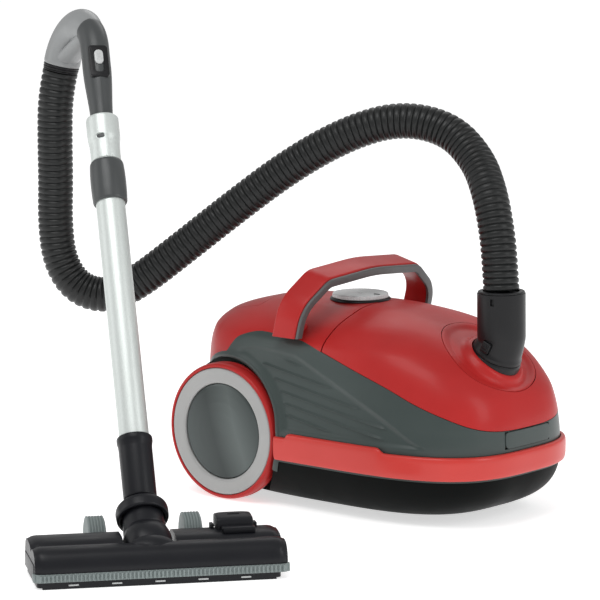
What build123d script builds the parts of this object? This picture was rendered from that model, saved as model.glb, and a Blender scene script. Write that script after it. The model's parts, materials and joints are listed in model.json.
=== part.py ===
from build123d import *
from math import copysign, cos, pi, radians, sin, tan
import os

# Canister vacuum cleaner, in millimetres, +Z up, standing on the floor at z = 0.
# The canister drives along +X. The wand stands beside it on its floor nozzle.

# ---- Driving dimensions -------------------------------------------------
CAN_X, CAN_Y = 26.0, 243.0  # the canister's reference point on the floor
WALL = 3.0  # wall of the moulded shells
GAP = 0.8  # seam between moulded shells that move apart

# Horizontal outlines of the canister: height, rear, front, half width, middle
LEVELS = [
    (12, -158, 214, 110, 50),
    (22, -176, 239, 124, 55),
    (60, -192, 266, 141, 60),
    (95, -196, 267, 141, 60),
    (120, -196, 266, 137, 60),
    (150, -196, 259, 133, 56),
    (180, -195, 236, 129, 50),
    (205, -190, 204, 121, 40),
    (225, -172, 168, 98, 28),
    (240, -130, 122, 62, 12),
    (247, -85, 78, 34, 0),
]
OUTLINE_STEPS = 32
FRONT_POWER, REAR_POWER = 3.1, 3.0

# The seam between the grey side shell and the red covers, seen from the side
BELT = [
    (-152, 92), (-146, 130), (-128, 168), (-97, 205), (-60, 214), (0, 211),
    (45, 200), (92, 186), (147, 168), (185, 152), (222, 137), (262, 119), (300, 106),
]
CHASSIS_TOP = 60.0  # top edge of the black tub
REAR_SPLIT = 95.0  # lower edge of the rear cover behind the wheels
REAR_END = -152.0  # rear end of the grey side shell
COVER_END = 41.0  # front edge of the rear cover
LID_START = 45.0  # rear edge of the bag lid
LID_HINGE = (44.0, 243.2)  # x and z of the lid's hinge

BUMPER_LOW, BUMPER_HIGH, BUMPER_PROUD = 62.0, 93.0, 7.0
BUMPER_SIDE_HIGH = 98.0  # the band is taller along each side
BUMPER_END = -36.0

WHEEL_X, WHEEL_R = -105.0, 86.0
WHEEL_OUT, WHEEL_IN = 140.0, 112.0  # faces of the rear wheels
WELL_R, WELL_FACE = 91.0, 107.5
SILVER_IN, SILVER_OUT = 60.0, 80.0
AXLE_R = 6.0

CASTER_X, CASTER_R, CASTER_TRAIL = 168.0, 17.0, 10.0
CASTER_WELL_R, CASTER_WELL_TOP = 36.0, 46.0

HANDLE_PIVOT = (-6.5, 222.0)
HANDLE_LEAN = 14.0  # degrees forward of upright
HANDLE_FOOT = 214.0  # the legs' level feet
HANDLE_BAND, HANDLE_LINER = 7.0, 5.0
HANDLE_PIN_R = 4.0
HANDLE_REAR, HANDLE_FRONT = -19.0, 17.5  # the band's edges, aft and fore of its middle
LEG_OUT, LEG_STRAIGHT, LEG_FOOT = 133.0, 35.0, -22.0
TOP_OUT, SHOULDER, CROWN = 89.0, 69.5, 76.0

DIAL_X, DIAL_R, DIAL_Z = 5.0, 33.0, 247.5

REEL = (-104.0, -78.0, 118.0)  # the cord reel's outer end
REEL_SPINDLE_R = 5.0

INLET = (204.0, 172.0)  # x and z of the inlet axis below the lid
INLET_LEAN = 25.0
ELBOW_CORNER = (225.0, 217.0)
ELBOW_TOP = (224.0, 277.0)
ELBOW_R, ELBOW_BORE = 29.5, 17.0
HOSE_R, HOSE_BORE = 22.0, 18.0

NOZZLE_X, NOZZLE_Y = 168.5, -281.5  # middle of the nozzle's front edge
NOZZLE_TURN = 51.6  # heading of the nozzle's long axis
NOZZLE_LONG, NOZZLE_DEEP, NOZZLE_HIGH = 282.0, 97.0, 38.0
NOZZLE_WHEEL_R, NOZZLE_WHEEL_W = 27.0, 21.0
NOZZLE_WHEEL_X, NOZZLE_WHEEL_Y = 56.0, 126.0
TILT_AXIS = (58.0, 28.0)  # y and z of the nozzle's hinge
WAND_BASE = (-5.0, 84.0, 36.0)  # a point on the wand's axis, in the nozzle's frame
WAND_LEAN = 34.0
SWIVEL_AT = 32.0  # along the wand
SWIVEL_LEAN = 52.0
TUBE_R, TUBE_BORE = 17.5, 16.08
INNER_R, INNER_BORE = 16.0, 14.5
HOOK_TURN = 18.0  # the hook is turned this much about the wand
HOOK_START, HOOK_R, HOOK_SWEEP = 640.0, 50.0, 140.0
HOOK_TAIL = 16.0

# The hose: its route's points, from the elbow's rim to the wand's handle
HOSE_FRONT_ROUTE = [
    (250, 243, 280), (247, 244, 309), (239, 248, 350), (221, 257, 395),
    (186, 279, 431), (140, 281, 466), (82, 257, 477), (25, 225, 457), (-7, 207.5, 436),
]
HOSE_REAR_ROUTE = [
    (-7, 207.5, 436), (-39, 190, 415), (-105, 148, 355), (-157, 112, 304),
    (-200, 84, 264), (-233, 64, 245), (-266, 44, 254), (-286, 32, 289),
    (-289, 28, 340), (-285, 26, 392), (-280, 20, 449), (-275.5, 17, 499), (-269.6, 20.3, 529.8),
]

os.makedirs("parts", exist_ok=True)


# ---- Planes -------------------------------------------------------------
def level(z):
    """A horizontal plane in the canister's frame."""
    return Plane(origin=(CAN_X, CAN_Y, z))


def side(y):
    """An upright lengthwise plane: local x forward, local y up, facing the right side."""
    return Plane(origin=(CAN_X, CAN_Y + y, 0), x_dir=(1, 0, 0), z_dir=(0, -1, 0))


def cross(x):
    """An upright crosswise plane: local x to the left, local y up, facing forward."""
    return Plane(origin=(CAN_X + x, CAN_Y, 0), x_dir=(0, 1, 0), z_dir=(1, 0, 0))


def inlet(reach):
    """A plane square to the inlet's axis, at a distance along it."""
    lean = radians(INLET_LEAN)
    origin = (CAN_X + INLET[0] + reach * sin(lean), CAN_Y, INLET[1] + reach * cos(lean))
    return Plane(origin=origin, x_dir=(cos(lean), 0, -sin(lean)), z_dir=(sin(lean), 0, cos(lean)))


def arch():
    """The carry handle's own plane: local x to the left, local y along its legs."""
    lean = radians(HANDLE_LEAN)
    origin = (CAN_X + HANDLE_PIVOT[0], CAN_Y, HANDLE_PIVOT[1])
    return Plane(origin=origin, x_dir=(0, 1, 0), z_dir=(cos(lean), 0, -sin(lean)))


def hinge_plane(y):
    """A plane across the lid's hinge, facing left."""
    return Plane(origin=(CAN_X + LID_HINGE[0], CAN_Y + y, LID_HINGE[1]), z_dir=(0, 1, 0))


def handle_pivot(hand, y):
    """A plane across the carry handle's pivot, facing outwards."""
    origin = (CAN_X + HANDLE_PIVOT[0], CAN_Y + hand * y, HANDLE_PIVOT[1])
    return Plane(origin=origin, z_dir=(0, hand, 0))


TURN = radians(NOZZLE_TURN)
NOZZLE = Plane(origin=(NOZZLE_X, NOZZLE_Y, 0), x_dir=(cos(TURN), sin(TURN), 0), z_dir=(0, 0, 1))


def nozzle(x, y, z):
    """A horizontal plane in the nozzle's frame: local x along it, local y to its back."""
    return Plane(origin=NOZZLE.from_local_coords((x, y, z)), x_dir=NOZZLE.x_dir, z_dir=(0, 0, 1))


def nozzle_end(x, y, z):
    """A plane across the nozzle: local x to its back, local y up."""
    origin = NOZZLE.from_local_coords((x, y, z))
    return Plane(origin=origin, x_dir=NOZZLE.y_dir, z_dir=NOZZLE.x_dir)


def leaning(at, lean):
    """A plane whose normal leans back from upright, in the nozzle's frame."""
    normal = NOZZLE.y_dir * sin(radians(lean)) + NOZZLE.z_dir * cos(radians(lean))
    return Plane(origin=NOZZLE.from_local_coords(at), x_dir=NOZZLE.x_dir, z_dir=normal)


WAND = leaning(WAND_BASE, WAND_LEAN)


def wand(reach):
    """A plane square to the wand, at a distance along it."""
    return WAND.offset(reach)


def wand_point(reach):
    """A point on the wand's axis, in the nozzle's frame."""
    lean = radians(WAND_LEAN)
    x, y, z = WAND_BASE
    return (x, y + reach * sin(lean), z + reach * cos(lean))


SWIVEL = leaning(wand_point(SWIVEL_AT), SWIVEL_LEAN)
HOOK_DIR = WAND.y_dir * cos(radians(HOOK_TURN)) - WAND.x_dir * sin(radians(HOOK_TURN))
HOOK_FOOT = WAND.from_local_coords((0, 0, HOOK_START))
HOOK = Plane(origin=HOOK_FOOT, x_dir=HOOK_DIR, z_dir=HOOK_DIR.cross(WAND.z_dir))


def hook(angle, tail=0.0):
    """A plane square to the hook, at an angle round its bend and a distance past it."""
    turn = radians(angle)
    along = HOOK.x_dir * sin(turn) + HOOK.y_dir * cos(turn)
    x = HOOK_R - HOOK_R * cos(turn) + tail * sin(turn)
    y = HOOK_R * sin(turn) + tail * cos(turn)
    return Plane(origin=HOOK.from_local_coords((x, y, 0)), x_dir=HOOK.z_dir, z_dir=along)


def save(solid, name):
    """Label a finished piece and write it to its file."""
    solid.label = name
    export_step(solid, f"parts/{name}.step")


# ---- The canister's outer form -------------------------------------------
def outline(rear, front, half, mid, inset):
    """Points of one rounded horizontal outline, drawn in by inset."""
    points = []
    for k in range(OUTLINE_STEPS):
        along, across = cos(2 * pi * k / OUTLINE_STEPS), sin(2 * pi * k / OUTLINE_STEPS)
        reach = (front if along > 0 else 2 * mid - rear) - mid - inset
        power = 2 / (FRONT_POWER if along > 0 else REAR_POWER)
        x = mid + reach * copysign(abs(along) ** power, along)
        y = (half - inset) * copysign(abs(across) ** power, across)
        points.append((x, y))
    return points


def hull(inset):
    """The canister's closed form, drawn in by inset."""
    with BuildPart() as solid:
        for z, rear, front, half, mid in LEVELS:
            lift = inset if z < 15 else (-inset if z > 200 else 0)
            with BuildSketch(level(z + lift)):
                with BuildLine():
                    Spline(*outline(rear, front, half, mid, inset), periodic=True)
                make_face()
        loft()
    return solid.part


def bar(plane, radius, length, bore=0.0):
    """A round bar or tube that starts on a plane."""
    with BuildPart() as solid:
        with BuildSketch(plane):
            Circle(radius)
            if bore:
                Circle(bore, mode=Mode.SUBTRACT)
        extrude(amount=length)
    return solid.part


def slab(plane, width, height, length, corner=0.0):
    """A bar of rounded rectangular section that starts on a plane, centred on its origin."""
    with BuildPart() as solid:
        with BuildSketch(plane):
            if corner:
                RectangleRounded(width, height, corner)
            else:
                Rectangle(width, height)
        extrude(amount=length)
    return solid.part


def above_belt(lift):
    """Everything above the belt seam, raised by lift."""
    with BuildPart() as solid:
        with BuildSketch(side(200)):
            with BuildLine():
                seam = Spline(*[(x, z + lift) for x, z in BELT])
                Polyline(seam @ 1, (300, 320), (-260, 320), (-260, 92 + lift), seam @ 0)
            make_face()
        extrude(amount=400)
    return solid.part


def block(x0, x1, y0, y1, z0, z1):
    """A box in the canister's frame."""
    plane = level(z0)
    corner = Plane(origin=plane.from_local_coords(((x0 + x1) / 2, (y0 + y1) / 2, 0)))
    return slab(corner, x1 - x0, y1 - y0, z1 - z0)


outer = hull(0)
inner = hull(WALL)
red_zone = above_belt(0)
lid_zone = above_belt(GAP)



def wheel_plane(hand, y):
    """A plane across a rear wheel's axle, facing outwards."""
    origin = (CAN_X + WHEEL_X, CAN_Y + hand * y, WHEEL_R)
    return Plane(origin=origin, x_dir=(1, 0, 0), z_dir=(0, hand, 0))


# Both walls with the wheel wells and the caster's well let into them
with BuildPart() as walls:
    add(outer)
    add(inner, mode=Mode.SUBTRACT)
    for hand in (-1, 1):
        add(bar(wheel_plane(hand, WELL_FACE - WALL), WELL_R + WALL, 60).intersect(outer))
    caster_cup = Plane(origin=(CAN_X + CASTER_X, CAN_Y, 12))
    add(bar(caster_cup, CASTER_WELL_R + WALL, CASTER_WELL_TOP - 12 + WALL))
    for hand in (-1, 1):
        add(bar(wheel_plane(hand, WELL_FACE), WELL_R, 60), mode=Mode.SUBTRACT)
    caster_room = bar(Plane(origin=(CAN_X + CASTER_X, CAN_Y, 0)), CASTER_WELL_R, CASTER_WELL_TOP)
    add(caster_room, mode=Mode.SUBTRACT)

# ---- Chassis, shells and covers -------------------------------------------
with BuildPart() as chassis_base:
    add(walls.part)
    add(block(-260, 300, -200, 200, 0, CHASSIS_TOP), mode=Mode.INTERSECT)
    step = block(-260, REAR_END - 0.2, -200, 200, CHASSIS_TOP - 0.1, REAR_SPLIT - 0.2)
    add(walls.part.intersect(step))
    # the wall between the dust chamber and the motor
    add(inner.intersect(block(22, 26, -200, 200, 12, CHASSIS_TOP + 90)))
    # axle bosses
    for hand in (-1, 1):
        add(bar(wheel_plane(hand, 84), 11, 20.4, AXLE_R).intersect(inner))
    for hand in (-1, 1):
        add(block(WHEEL_X - 8, WHEEL_X + 8, *sorted((hand * 84, hand * 100)), 14, WHEEL_R - 9))
    # caster bore
    add(bar(Plane(origin=(CAN_X + CASTER_X, CAN_Y, CASTER_WELL_TOP)), 9, 22))
    bore = bar(Plane(origin=(CAN_X + CASTER_X, CAN_Y, CASTER_WELL_TOP - 1)), 4.05, 19)
    add(bore, mode=Mode.SUBTRACT)
    # the cord's outlet
    outlet = Plane(origin=(CAN_X - 210, CAN_Y + 62, 78), z_dir=(1, 0, 0))
    add(bar(outlet, 9, 40), mode=Mode.SUBTRACT)
    # bracket and spindle of the cord reel
    add(block(REEL[0] - 20, REEL[0] + 20, REEL[1] + 52, REEL[1] + 55, 14, REEL[2] + 20))
    spindle = Plane(origin=(CAN_X + REEL[0], CAN_Y + REEL[1] - 6, REEL[2]), z_dir=(0, 1, 0))
    add(bar(spindle, REEL_SPINDLE_R, 60))
save(chassis_base.part, "chassis_base")

LATCH_HALF, LATCH_LOW, LATCH_HIGH = 44.0, 96.5, 116.5
GRILLE_HALF, GRILLE_LOW, GRILLE_HIGH = 46.0, 112.0, 168.0
PEDAL_X0, PEDAL_X1, PEDAL_Y0, PEDAL_Y1 = -150.0, -108.0, 12.0, 62.0

with BuildPart() as side_shell:
    add(walls.part)
    add(block(REAR_END, 300, -200, 200, CHASSIS_TOP + 0.2, 320), mode=Mode.INTERSECT)
    add(red_zone, mode=Mode.SUBTRACT)
    add(block(WHEEL_X - 30, WHEEL_X + 30, -111, 111, 50, WHEEL_R + 13), mode=Mode.SUBTRACT)
    room = block(220, 300, -LATCH_HALF - GAP, LATCH_HALF + GAP, LATCH_LOW - GAP, LATCH_HIGH + GAP)
    add(room, mode=Mode.SUBTRACT)
save(side_shell.part, "side_shell")

with BuildPart() as rear_cover:
    add(walls.part)
    add(red_zone, mode=Mode.INTERSECT)
    add(block(-260, COVER_END, -200, 200, REAR_SPLIT, 320), mode=Mode.INTERSECT)
    # the middle knuckle of the lid's hinge
    knuckle = hinge_plane(-9)
    add(block(30, LID_HINGE[0], -9, 9, LID_HINGE[1] - 3, LID_HINGE[1] + 1))
    add(bar(knuckle, 3.4, 18))
    add(bar(knuckle, 1.55, 18), mode=Mode.SUBTRACT)
    for low in (-30, 10):
        add(bar(hinge_plane(low - 1), 4.4, 22), mode=Mode.SUBTRACT)
    # a boss on each side stands the carry handle's leg off the curved cover
    for hand in (-1, 1):
        add(bar(handle_pivot(hand, 99), 8, LEG_OUT - HANDLE_BAND - HANDLE_LINER - 99.5))
    # openings for the pedals, the dial's shaft and the exhaust grille
    for hand in (-1, 1):
        low, high = sorted((hand * (PEDAL_Y0 - GAP), hand * (PEDAL_Y1 + GAP)))
        add(block(PEDAL_X0 - GAP, PEDAL_X1 + GAP, low, high, 200, 300), mode=Mode.SUBTRACT)
    shaft = Plane(origin=(CAN_X + DIAL_X, CAN_Y, 225))
    add(bar(shaft, 9, 40), mode=Mode.SUBTRACT)
    add(block(-230, -150, -GRILLE_HALF, GRILLE_HALF, GRILLE_LOW, GRILLE_HIGH), mode=Mode.SUBTRACT)
save(rear_cover.part, "rear_cover")

with BuildPart() as exhaust_grille:
    add(outer)
    add(inner, mode=Mode.SUBTRACT)
    low, high = GRILLE_LOW + 0.2, GRILLE_HIGH - 0.2
    add(block(-230, -150, -GRILLE_HALF + 0.2, GRILLE_HALF - 0.2, low, high), mode=Mode.INTERSECT)
    for row in range(6):
        z = GRILLE_LOW + 7 + row * 8
        add(block(-230, -150, -GRILLE_HALF + 6, GRILLE_HALF - 6, z, z + 4), mode=Mode.SUBTRACT)
save(exhaust_grille.part, "exhaust_grille")

with BuildPart() as bag_lid:
    add(outer)
    add(inner, mode=Mode.SUBTRACT)
    add(lid_zone, mode=Mode.INTERSECT)
    add(block(LID_START, 300, -200, 200, 90, 320), mode=Mode.INTERSECT)
    for low, radius, length in ((-31, 2.6, 62), (-10, 4.4, 20)):
        add(bar(hinge_plane(low), radius, length), mode=Mode.SUBTRACT)
    for low in (-28, 10.5):
        add(bar(hinge_plane(low), 3.4, 17.5))
        add(bar(hinge_plane(low), 1.55, 17.5), mode=Mode.SUBTRACT)
    add(bar(inlet(0), 36.1, 80), mode=Mode.SUBTRACT)
save(bag_lid.part, "bag_lid")

# The lid's hinge pin and the carry handle's two pins
with BuildPart() as hinge_pins:
    add(bar(hinge_plane(-29), 1.5, 58))
    for hand in (-1, 1):
        add(bar(handle_pivot(hand, 97), HANDLE_PIN_R, LEG_OUT - 98))
save(hinge_pins.part, "hinge_pins")

# The bumper band runs round the front and along both sides
with BuildPart() as bumper_band:
    with BuildSketch(level(BUMPER_LOW)):
        for grow, mode in ((BUMPER_PROUD, Mode.ADD), (0.1, Mode.SUBTRACT)):
            with BuildLine():
                Spline(*outline(*LEVELS[3][1:], -grow), periodic=True)
            make_face(mode=mode)
    extrude(amount=BUMPER_SIDE_HIGH - BUMPER_LOW)
    add(block(BUMPER_END, 300, -200, 200, 0, 200), mode=Mode.INTERSECT)
    add(block(105, 300, -200, 200, BUMPER_HIGH, 200), mode=Mode.SUBTRACT)
    add(block(BUMPER_END, -10, -200, 200, BUMPER_HIGH, 200), mode=Mode.SUBTRACT)
    add(outer, mode=Mode.SUBTRACT)
    for hand in (-1, 1):
        add(bar(wheel_plane(hand, 90), WHEEL_R + 2.5, 90), mode=Mode.SUBTRACT)
save(bumper_band.part, "bumper_band")

with BuildPart() as lid_latch:
    add(hull(-2.0))
    add(hull(4.0), mode=Mode.SUBTRACT)
    add(block(220, 300, -LATCH_HALF, LATCH_HALF, LATCH_LOW, LATCH_HIGH), mode=Mode.INTERSECT)
save(lid_latch.part, "lid_latch")

# ---- Controls on the rear cover --------------------------------------------
pedal_skin = outer - hull(5.0)
for hand, name in ((1, "on_off_pedal"), (-1, "rewind_pedal")):
    with BuildPart() as pedal:
        add(pedal_skin)
        low, high = sorted((hand * PEDAL_Y0, hand * PEDAL_Y1))
        add(block(PEDAL_X0, PEDAL_X1, low, high, 190, 300), mode=Mode.INTERSECT)
    save(pedal.part, name)

dial_axis = Plane(origin=(CAN_X + DIAL_X, CAN_Y, DIAL_Z))
with BuildPart() as dial_bezel:
    add(bar(dial_axis, DIAL_R + 3, 3.0, 10))
save(dial_bezel.part, "dial_bezel")

with BuildPart() as power_dial:
    with BuildSketch(dial_axis.offset(3.4)):
        Circle(DIAL_R)
    extrude(amount=6)
    fillet(power_dial.edges().filter_by(GeomType.CIRCLE).group_by(Axis.Z)[-1], 2.5)
    with BuildSketch(dial_axis.offset(-24)):
        Circle(5)
    extrude(amount=28)
save(power_dial.part, "power_dial")

with BuildPart() as control_board:
    board = Plane(origin=(CAN_X + DIAL_X, CAN_Y, DIAL_Z - 28))
    add(slab(board, 66, 50, 2))
    add(bar(board.offset(2), 8, 7, 5.1))
    for x, y in ((-22, -14), (-22, 12), (20, -16)):
        add(slab(Plane(origin=board.from_local_coords((x, y, -8))), 12, 14, 8))
save(control_board.part, "control_board")

# ---- Rear wheels ---------------------------------------------------------------
with BuildPart() as wheel_axles:
    for hand in (-1, 1):
        add(bar(wheel_plane(hand, 84), AXLE_R, 46))
save(wheel_axles.part, "wheel_axles")

for hand, name in ((1, "left"), (-1, "right")):
    with BuildPart() as rim:
        add(bar(wheel_plane(hand, WHEEL_IN), WHEEL_R, WHEEL_OUT - WHEEL_IN, SILVER_OUT + 0.1))
        fillet(rim.edges().filter_by(GeomType.CIRCLE).sort_by(SortBy.RADIUS)[-2:], 3)
        add(bar(wheel_plane(hand, WHEEL_IN + 4), SILVER_OUT + 1, 4))
        add(bar(wheel_plane(hand, WHEEL_IN), 14, 18))
        add(bar(wheel_plane(hand, WHEEL_IN - 1), AXLE_R + 0.05, 60), mode=Mode.SUBTRACT)
    save(rim.part, f"wheel_rim_{name}")
    with BuildPart() as ring:
        add(bar(wheel_plane(hand, WHEEL_IN + 8), SILVER_OUT, WHEEL_OUT - WHEEL_IN - 9, SILVER_IN + 0.1))
    save(ring.part, f"wheel_ring_{name}")
    with BuildPart() as cap:
        add(bar(wheel_plane(hand, WHEEL_OUT - 8), SILVER_IN, 6))
        add(bar(wheel_plane(hand, WHEEL_IN + 8), SILVER_IN, WHEEL_OUT - WHEEL_IN - 16, SILVER_IN - 3))
    save(cap.part, f"wheel_cap_{name}")

# ---- Front caster ----------------------------------------------------------------
caster_axle_at = (CAN_X + CASTER_X - CASTER_TRAIL, CAN_Y, CASTER_R)
with BuildPart() as caster_fork:
    add(bar(Plane(origin=(CAN_X + CASTER_X, CAN_Y, CASTER_WELL_TOP - 8)), 20, 7))
    add(bar(Plane(origin=(CAN_X + CASTER_X, CAN_Y, CASTER_WELL_TOP - 2)), 4, 18))
    for hand in (-1, 1):
        cheek = Plane(origin=(caster_axle_at[0], CAN_Y + hand * 11.0, CASTER_R), z_dir=(0, hand, 0))
        add(bar(cheek, 7, 3))
        foot = Plane(origin=(caster_axle_at[0] + 2, CAN_Y + hand * 12.5, CASTER_R + 2))
        add(slab(foot, 14, 3, CASTER_WELL_TOP - 8 - CASTER_R))
        add(bar(cheek, 2.5, 3), mode=Mode.SUBTRACT)
save(caster_fork.part, "caster_fork")

with BuildPart() as caster_axle:
    add(bar(Plane(origin=(caster_axle_at[0], CAN_Y - 14, CASTER_R), z_dir=(0, 1, 0)), 2.5, 28))
save(caster_axle.part, "caster_axle")

with BuildPart() as caster_wheel:
    add(bar(Plane(origin=(caster_axle_at[0], CAN_Y - 10, CASTER_R), z_dir=(0, 1, 0)), CASTER_R, 20, 2.55))
    fillet(caster_wheel.edges().filter_by(GeomType.CIRCLE).sort_by(SortBy.RADIUS)[-2:], 3)
save(caster_wheel.part, "caster_wheel")

# ---- Carry handle -------------------------------------------------------------------
def arch_face(inset):
    """The arch's filled outline, drawn in by inset, in the handle's own plane."""
    leg, top, shoulder, crown = LEG_OUT - inset, TOP_OUT - inset, SHOULDER - inset, CROWN - inset
    half = [(leg, LEG_FOOT), (leg, LEG_STRAIGHT), (top, shoulder)]
    path = half + [(0, crown)] + [(-x, y) for x, y in reversed(half)]
    bend, corner = 45 - inset, 30 - inset
    with BuildSketch(arch()) as face:
        with BuildLine():
            edge = FilletPolyline(*path, radius=[bend, corner, 300 - inset, corner, bend])
            Line(edge @ 1, edge @ 0)
        make_face()
    return face.sketch


def arch_part(outer_inset, inner_inset, rear, front):
    """One layer of the arch, between two distances fore and aft of its plane."""
    with BuildPart() as solid:
        shift = arch().z_dir
        extrude(arch_face(outer_inset).moved(Location(shift * rear)), amount=front - rear, dir=shift)
        cut = arch_face(inner_inset).moved(Location(shift * (rear - 1)))
        extrude(cut, amount=front - rear + 2, dir=shift, mode=Mode.SUBTRACT)
        add(block(-120, 120, -200, 200, 100, HANDLE_FOOT), mode=Mode.SUBTRACT)
        for hand in (-1, 1):
            add(bar(handle_pivot(hand, 90), HANDLE_PIN_R + 0.05, 60), mode=Mode.SUBTRACT)
    return solid.part


with BuildPart() as handle_band:
    add(arch_part(0, HANDLE_BAND, HANDLE_REAR, HANDLE_FRONT))
save(handle_band.part, "handle_band")

with BuildPart() as handle_grip:
    add(arch_part(HANDLE_BAND + 0.05, HANDLE_BAND + HANDLE_LINER, HANDLE_REAR + 2, HANDLE_FRONT + 3))
save(handle_grip.part, "handle_grip")

# ---- Inlet, elbow and hose -------------------------------------------------------------
with BuildPart() as inlet_collar:
    add(bar(inlet(10), 36.0, 22, 28.3))
    add(bar(inlet(4), 38.0, 6, 28.3))
save(inlet_collar.part, "inlet_collar")

with BuildPart() as inlet_seal:
    add(bar(inlet(-2), 38, 5.8, 18))
save(inlet_seal.part, "inlet_seal")


def upright(x, z):
    """A point on the canister's middle plane."""
    return (CAN_X + x, CAN_Y, z)


elbow_foot = inlet(34.5)
elbow_rim = Plane(
    origin=upright(*ELBOW_TOP),
    x_dir=(0, 1, 0),
    z_dir=(ELBOW_TOP[0] - ELBOW_CORNER[0], 0, ELBOW_TOP[1] - ELBOW_CORNER[1]),
)


def clip_plane(reach):
    """The face of the release clip in the elbow's right side."""
    origin = inlet(46).from_local_coords((0, -reach, 0))
    return Plane(origin=origin, x_dir=inlet(0).x_dir, z_dir=(0, -1, 0))


with BuildPart() as hose_elbow:
    with BuildLine() as elbow_path:
        foot = elbow_foot.origin
        FilletPolyline(foot, upright(*ELBOW_CORNER), upright(*ELBOW_TOP), radius=28)
    with BuildSketch(elbow_foot):
        Circle(ELBOW_R)
    sweep()
    add(bar(inlet(5), 28, 30))
    add(bar(inlet(32.4), 36, 9))
    with BuildSketch(elbow_foot):
        Circle(ELBOW_BORE)
    sweep(path=elbow_path.line, mode=Mode.SUBTRACT)
    add(bar(inlet(0), ELBOW_BORE, 36), mode=Mode.SUBTRACT)
    add(bar(elbow_rim.offset(-18), 26.0, 30), mode=Mode.SUBTRACT)
    add(slab(clip_plane(24), 13.2, 15.2, 20), mode=Mode.SUBTRACT)
save(hose_elbow.part, "hose_elbow")

with BuildPart() as elbow_clip:
    add(slab(clip_plane(27.5), 12, 14, 4.5, 2))
save(elbow_clip.part, "elbow_clip")

with BuildPart() as hose_cuff_elbow:
    add(bar(elbow_rim.offset(-17.6), 25.95, 17.6, 17.5))
    add(bar(elbow_rim.offset(0.2), 28.5, 3.0, 17.5))
    add(bar(elbow_rim.offset(-0.1), 25.95, 0.4, 17.5))
    add(bar(elbow_rim.offset(0.1), HOSE_R + 0.3, 3.2), mode=Mode.SUBTRACT)
save(hose_cuff_elbow.part, "hose_cuff_elbow")


def corner_radii(points):
    """The largest bend radius at each corner: 0.45 of the shorter run over the tangent of half the turn."""
    radii = []
    for before, corner, after in zip(points, points[1:], points[2:]):
        first, second = Vector(corner) - Vector(before), Vector(after) - Vector(corner)
        shorter = min(first.length, second.length)
        radii.append(0.45 * shorter / tan(radians(first.get_angle(second)) / 2))
    return radii


def hose_length(route, name):
    """One length of hose: straight runs joined by tangent arcs."""
    radii = corner_radii(route)
    print(name, "radii", [round(r) for r in radii])
    with BuildPart() as solid:
        with BuildLine() as path:
            FilletPolyline(*route, radius=radii)
        start = Plane(origin=path.line @ 0, z_dir=path.line % 0)
        with BuildSketch(start):
            Circle(HOSE_R)
            Circle(HOSE_BORE, mode=Mode.SUBTRACT)
        sweep()
    length = sum(edge.length for edge in path.edges())
    expected = pi * (HOSE_R**2 - HOSE_BORE**2) * length
    print(name, "length", round(length), "volume / expected", round(solid.part.volume / expected, 4))
    save(solid.part, name)


hose_length(HOSE_FRONT_ROUTE, "hose_canister_half")
hose_length(HOSE_REAR_ROUTE, "hose_wand_half")

# ---- Inside the canister ------------------------------------------------------------------
with BuildPart() as bag_holder:
    add(slab(inlet(-8), 76, 106, 4, 10))
    add(bar(inlet(-8), 24, 4), mode=Mode.SUBTRACT)
    add(bar(inlet(-8), 30, 5.8, 24))
save(bag_holder.part, "bag_holder")

with BuildPart() as dust_bag:
    bag = Plane(origin=(CAN_X + 116, CAN_Y, 72))
    add(slab(bag, 168, 190, 66, 40))
    fillet(dust_bag.edges().filter_by(Plane.XY), 20)
save(dust_bag.part, "dust_bag")

filter_plane = Plane(origin=(CAN_X + 14, CAN_Y, 92), x_dir=(0, 1, 0), z_dir=(1, 0, 0))
with BuildPart() as motor_filter:
    add(slab(filter_plane, 120, 96, 7.8, 8))
save(motor_filter.part, "motor_filter")

motor_plane = Plane(origin=(CAN_X - 88, CAN_Y + 38, 92), x_dir=(0, 1, 0), z_dir=(1, 0, 0))
with BuildPart() as suction_motor:
    add(bar(motor_plane.offset(12), 38, 50))
    add(bar(motor_plane.offset(60), 50, 32))
    add(bar(motor_plane.offset(92), 22, 4))
    add(bar(motor_plane, 15, 12))
save(suction_motor.part, "suction_motor")

with BuildPart() as motor_mounts:
    add(bar(motor_plane.offset(64), 58, 22, 50.1))
    add(bar(motor_plane.offset(2), 24, 9, 15.1))
save(motor_mounts.part, "motor_mounts")

reel_plane = Plane(
    origin=(CAN_X + REEL[0], CAN_Y + REEL[1], REEL[2]), x_dir=(1, 0, 0), z_dir=(0, 1, 0)
)
with BuildPart() as cord_reel:
    add(bar(reel_plane, 64, 3))
    add(bar(reel_plane.offset(3), 30, 42))
    add(bar(reel_plane.offset(45), 64, 3))
    add(bar(reel_plane.offset(3), 57, 42, 30))
    add(bar(reel_plane.offset(-1), REEL_SPINDLE_R + 0.08, 50), mode=Mode.SUBTRACT)
save(cord_reel.part, "cord_reel")

with BuildPart() as cord_outlet:
    with BuildSketch(Plane(origin=(CAN_X - 198, CAN_Y + 62, 78), x_dir=(0, 1, 0), z_dir=(1, 0, 0))):
        Circle(8.9)
        Circle(4.5, mode=Mode.SUBTRACT)
    extrude(amount=22)
save(cord_outlet.part, "cord_outlet")

with BuildPart() as chassis_screws:
    for x, y in ((-60, -60), (-60, 60), (110, -70), (110, 70)):
        add(bar(Plane(origin=(CAN_X + x, CAN_Y + y, 13)), 2, 24))
        add(bar(Plane(origin=(CAN_X + x, CAN_Y + y, 12)), 4, 2.5))
save(chassis_screws.part, "chassis_screws")

# ---- The wand ------------------------------------------------------------------------------
LOWER_START, LOWER_END = 70.0, 484.0
COLLAR_START, COLLAR_END = 427.0, 481.0
SLEEVE_START, SLEEVE_END = 490.0, 541.0
INNER_START = 190.0
STEM_R, STEM_BORE = 15.4, 12.5
BEND_R, BEND_FROM = 21.0, 52.0

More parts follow.
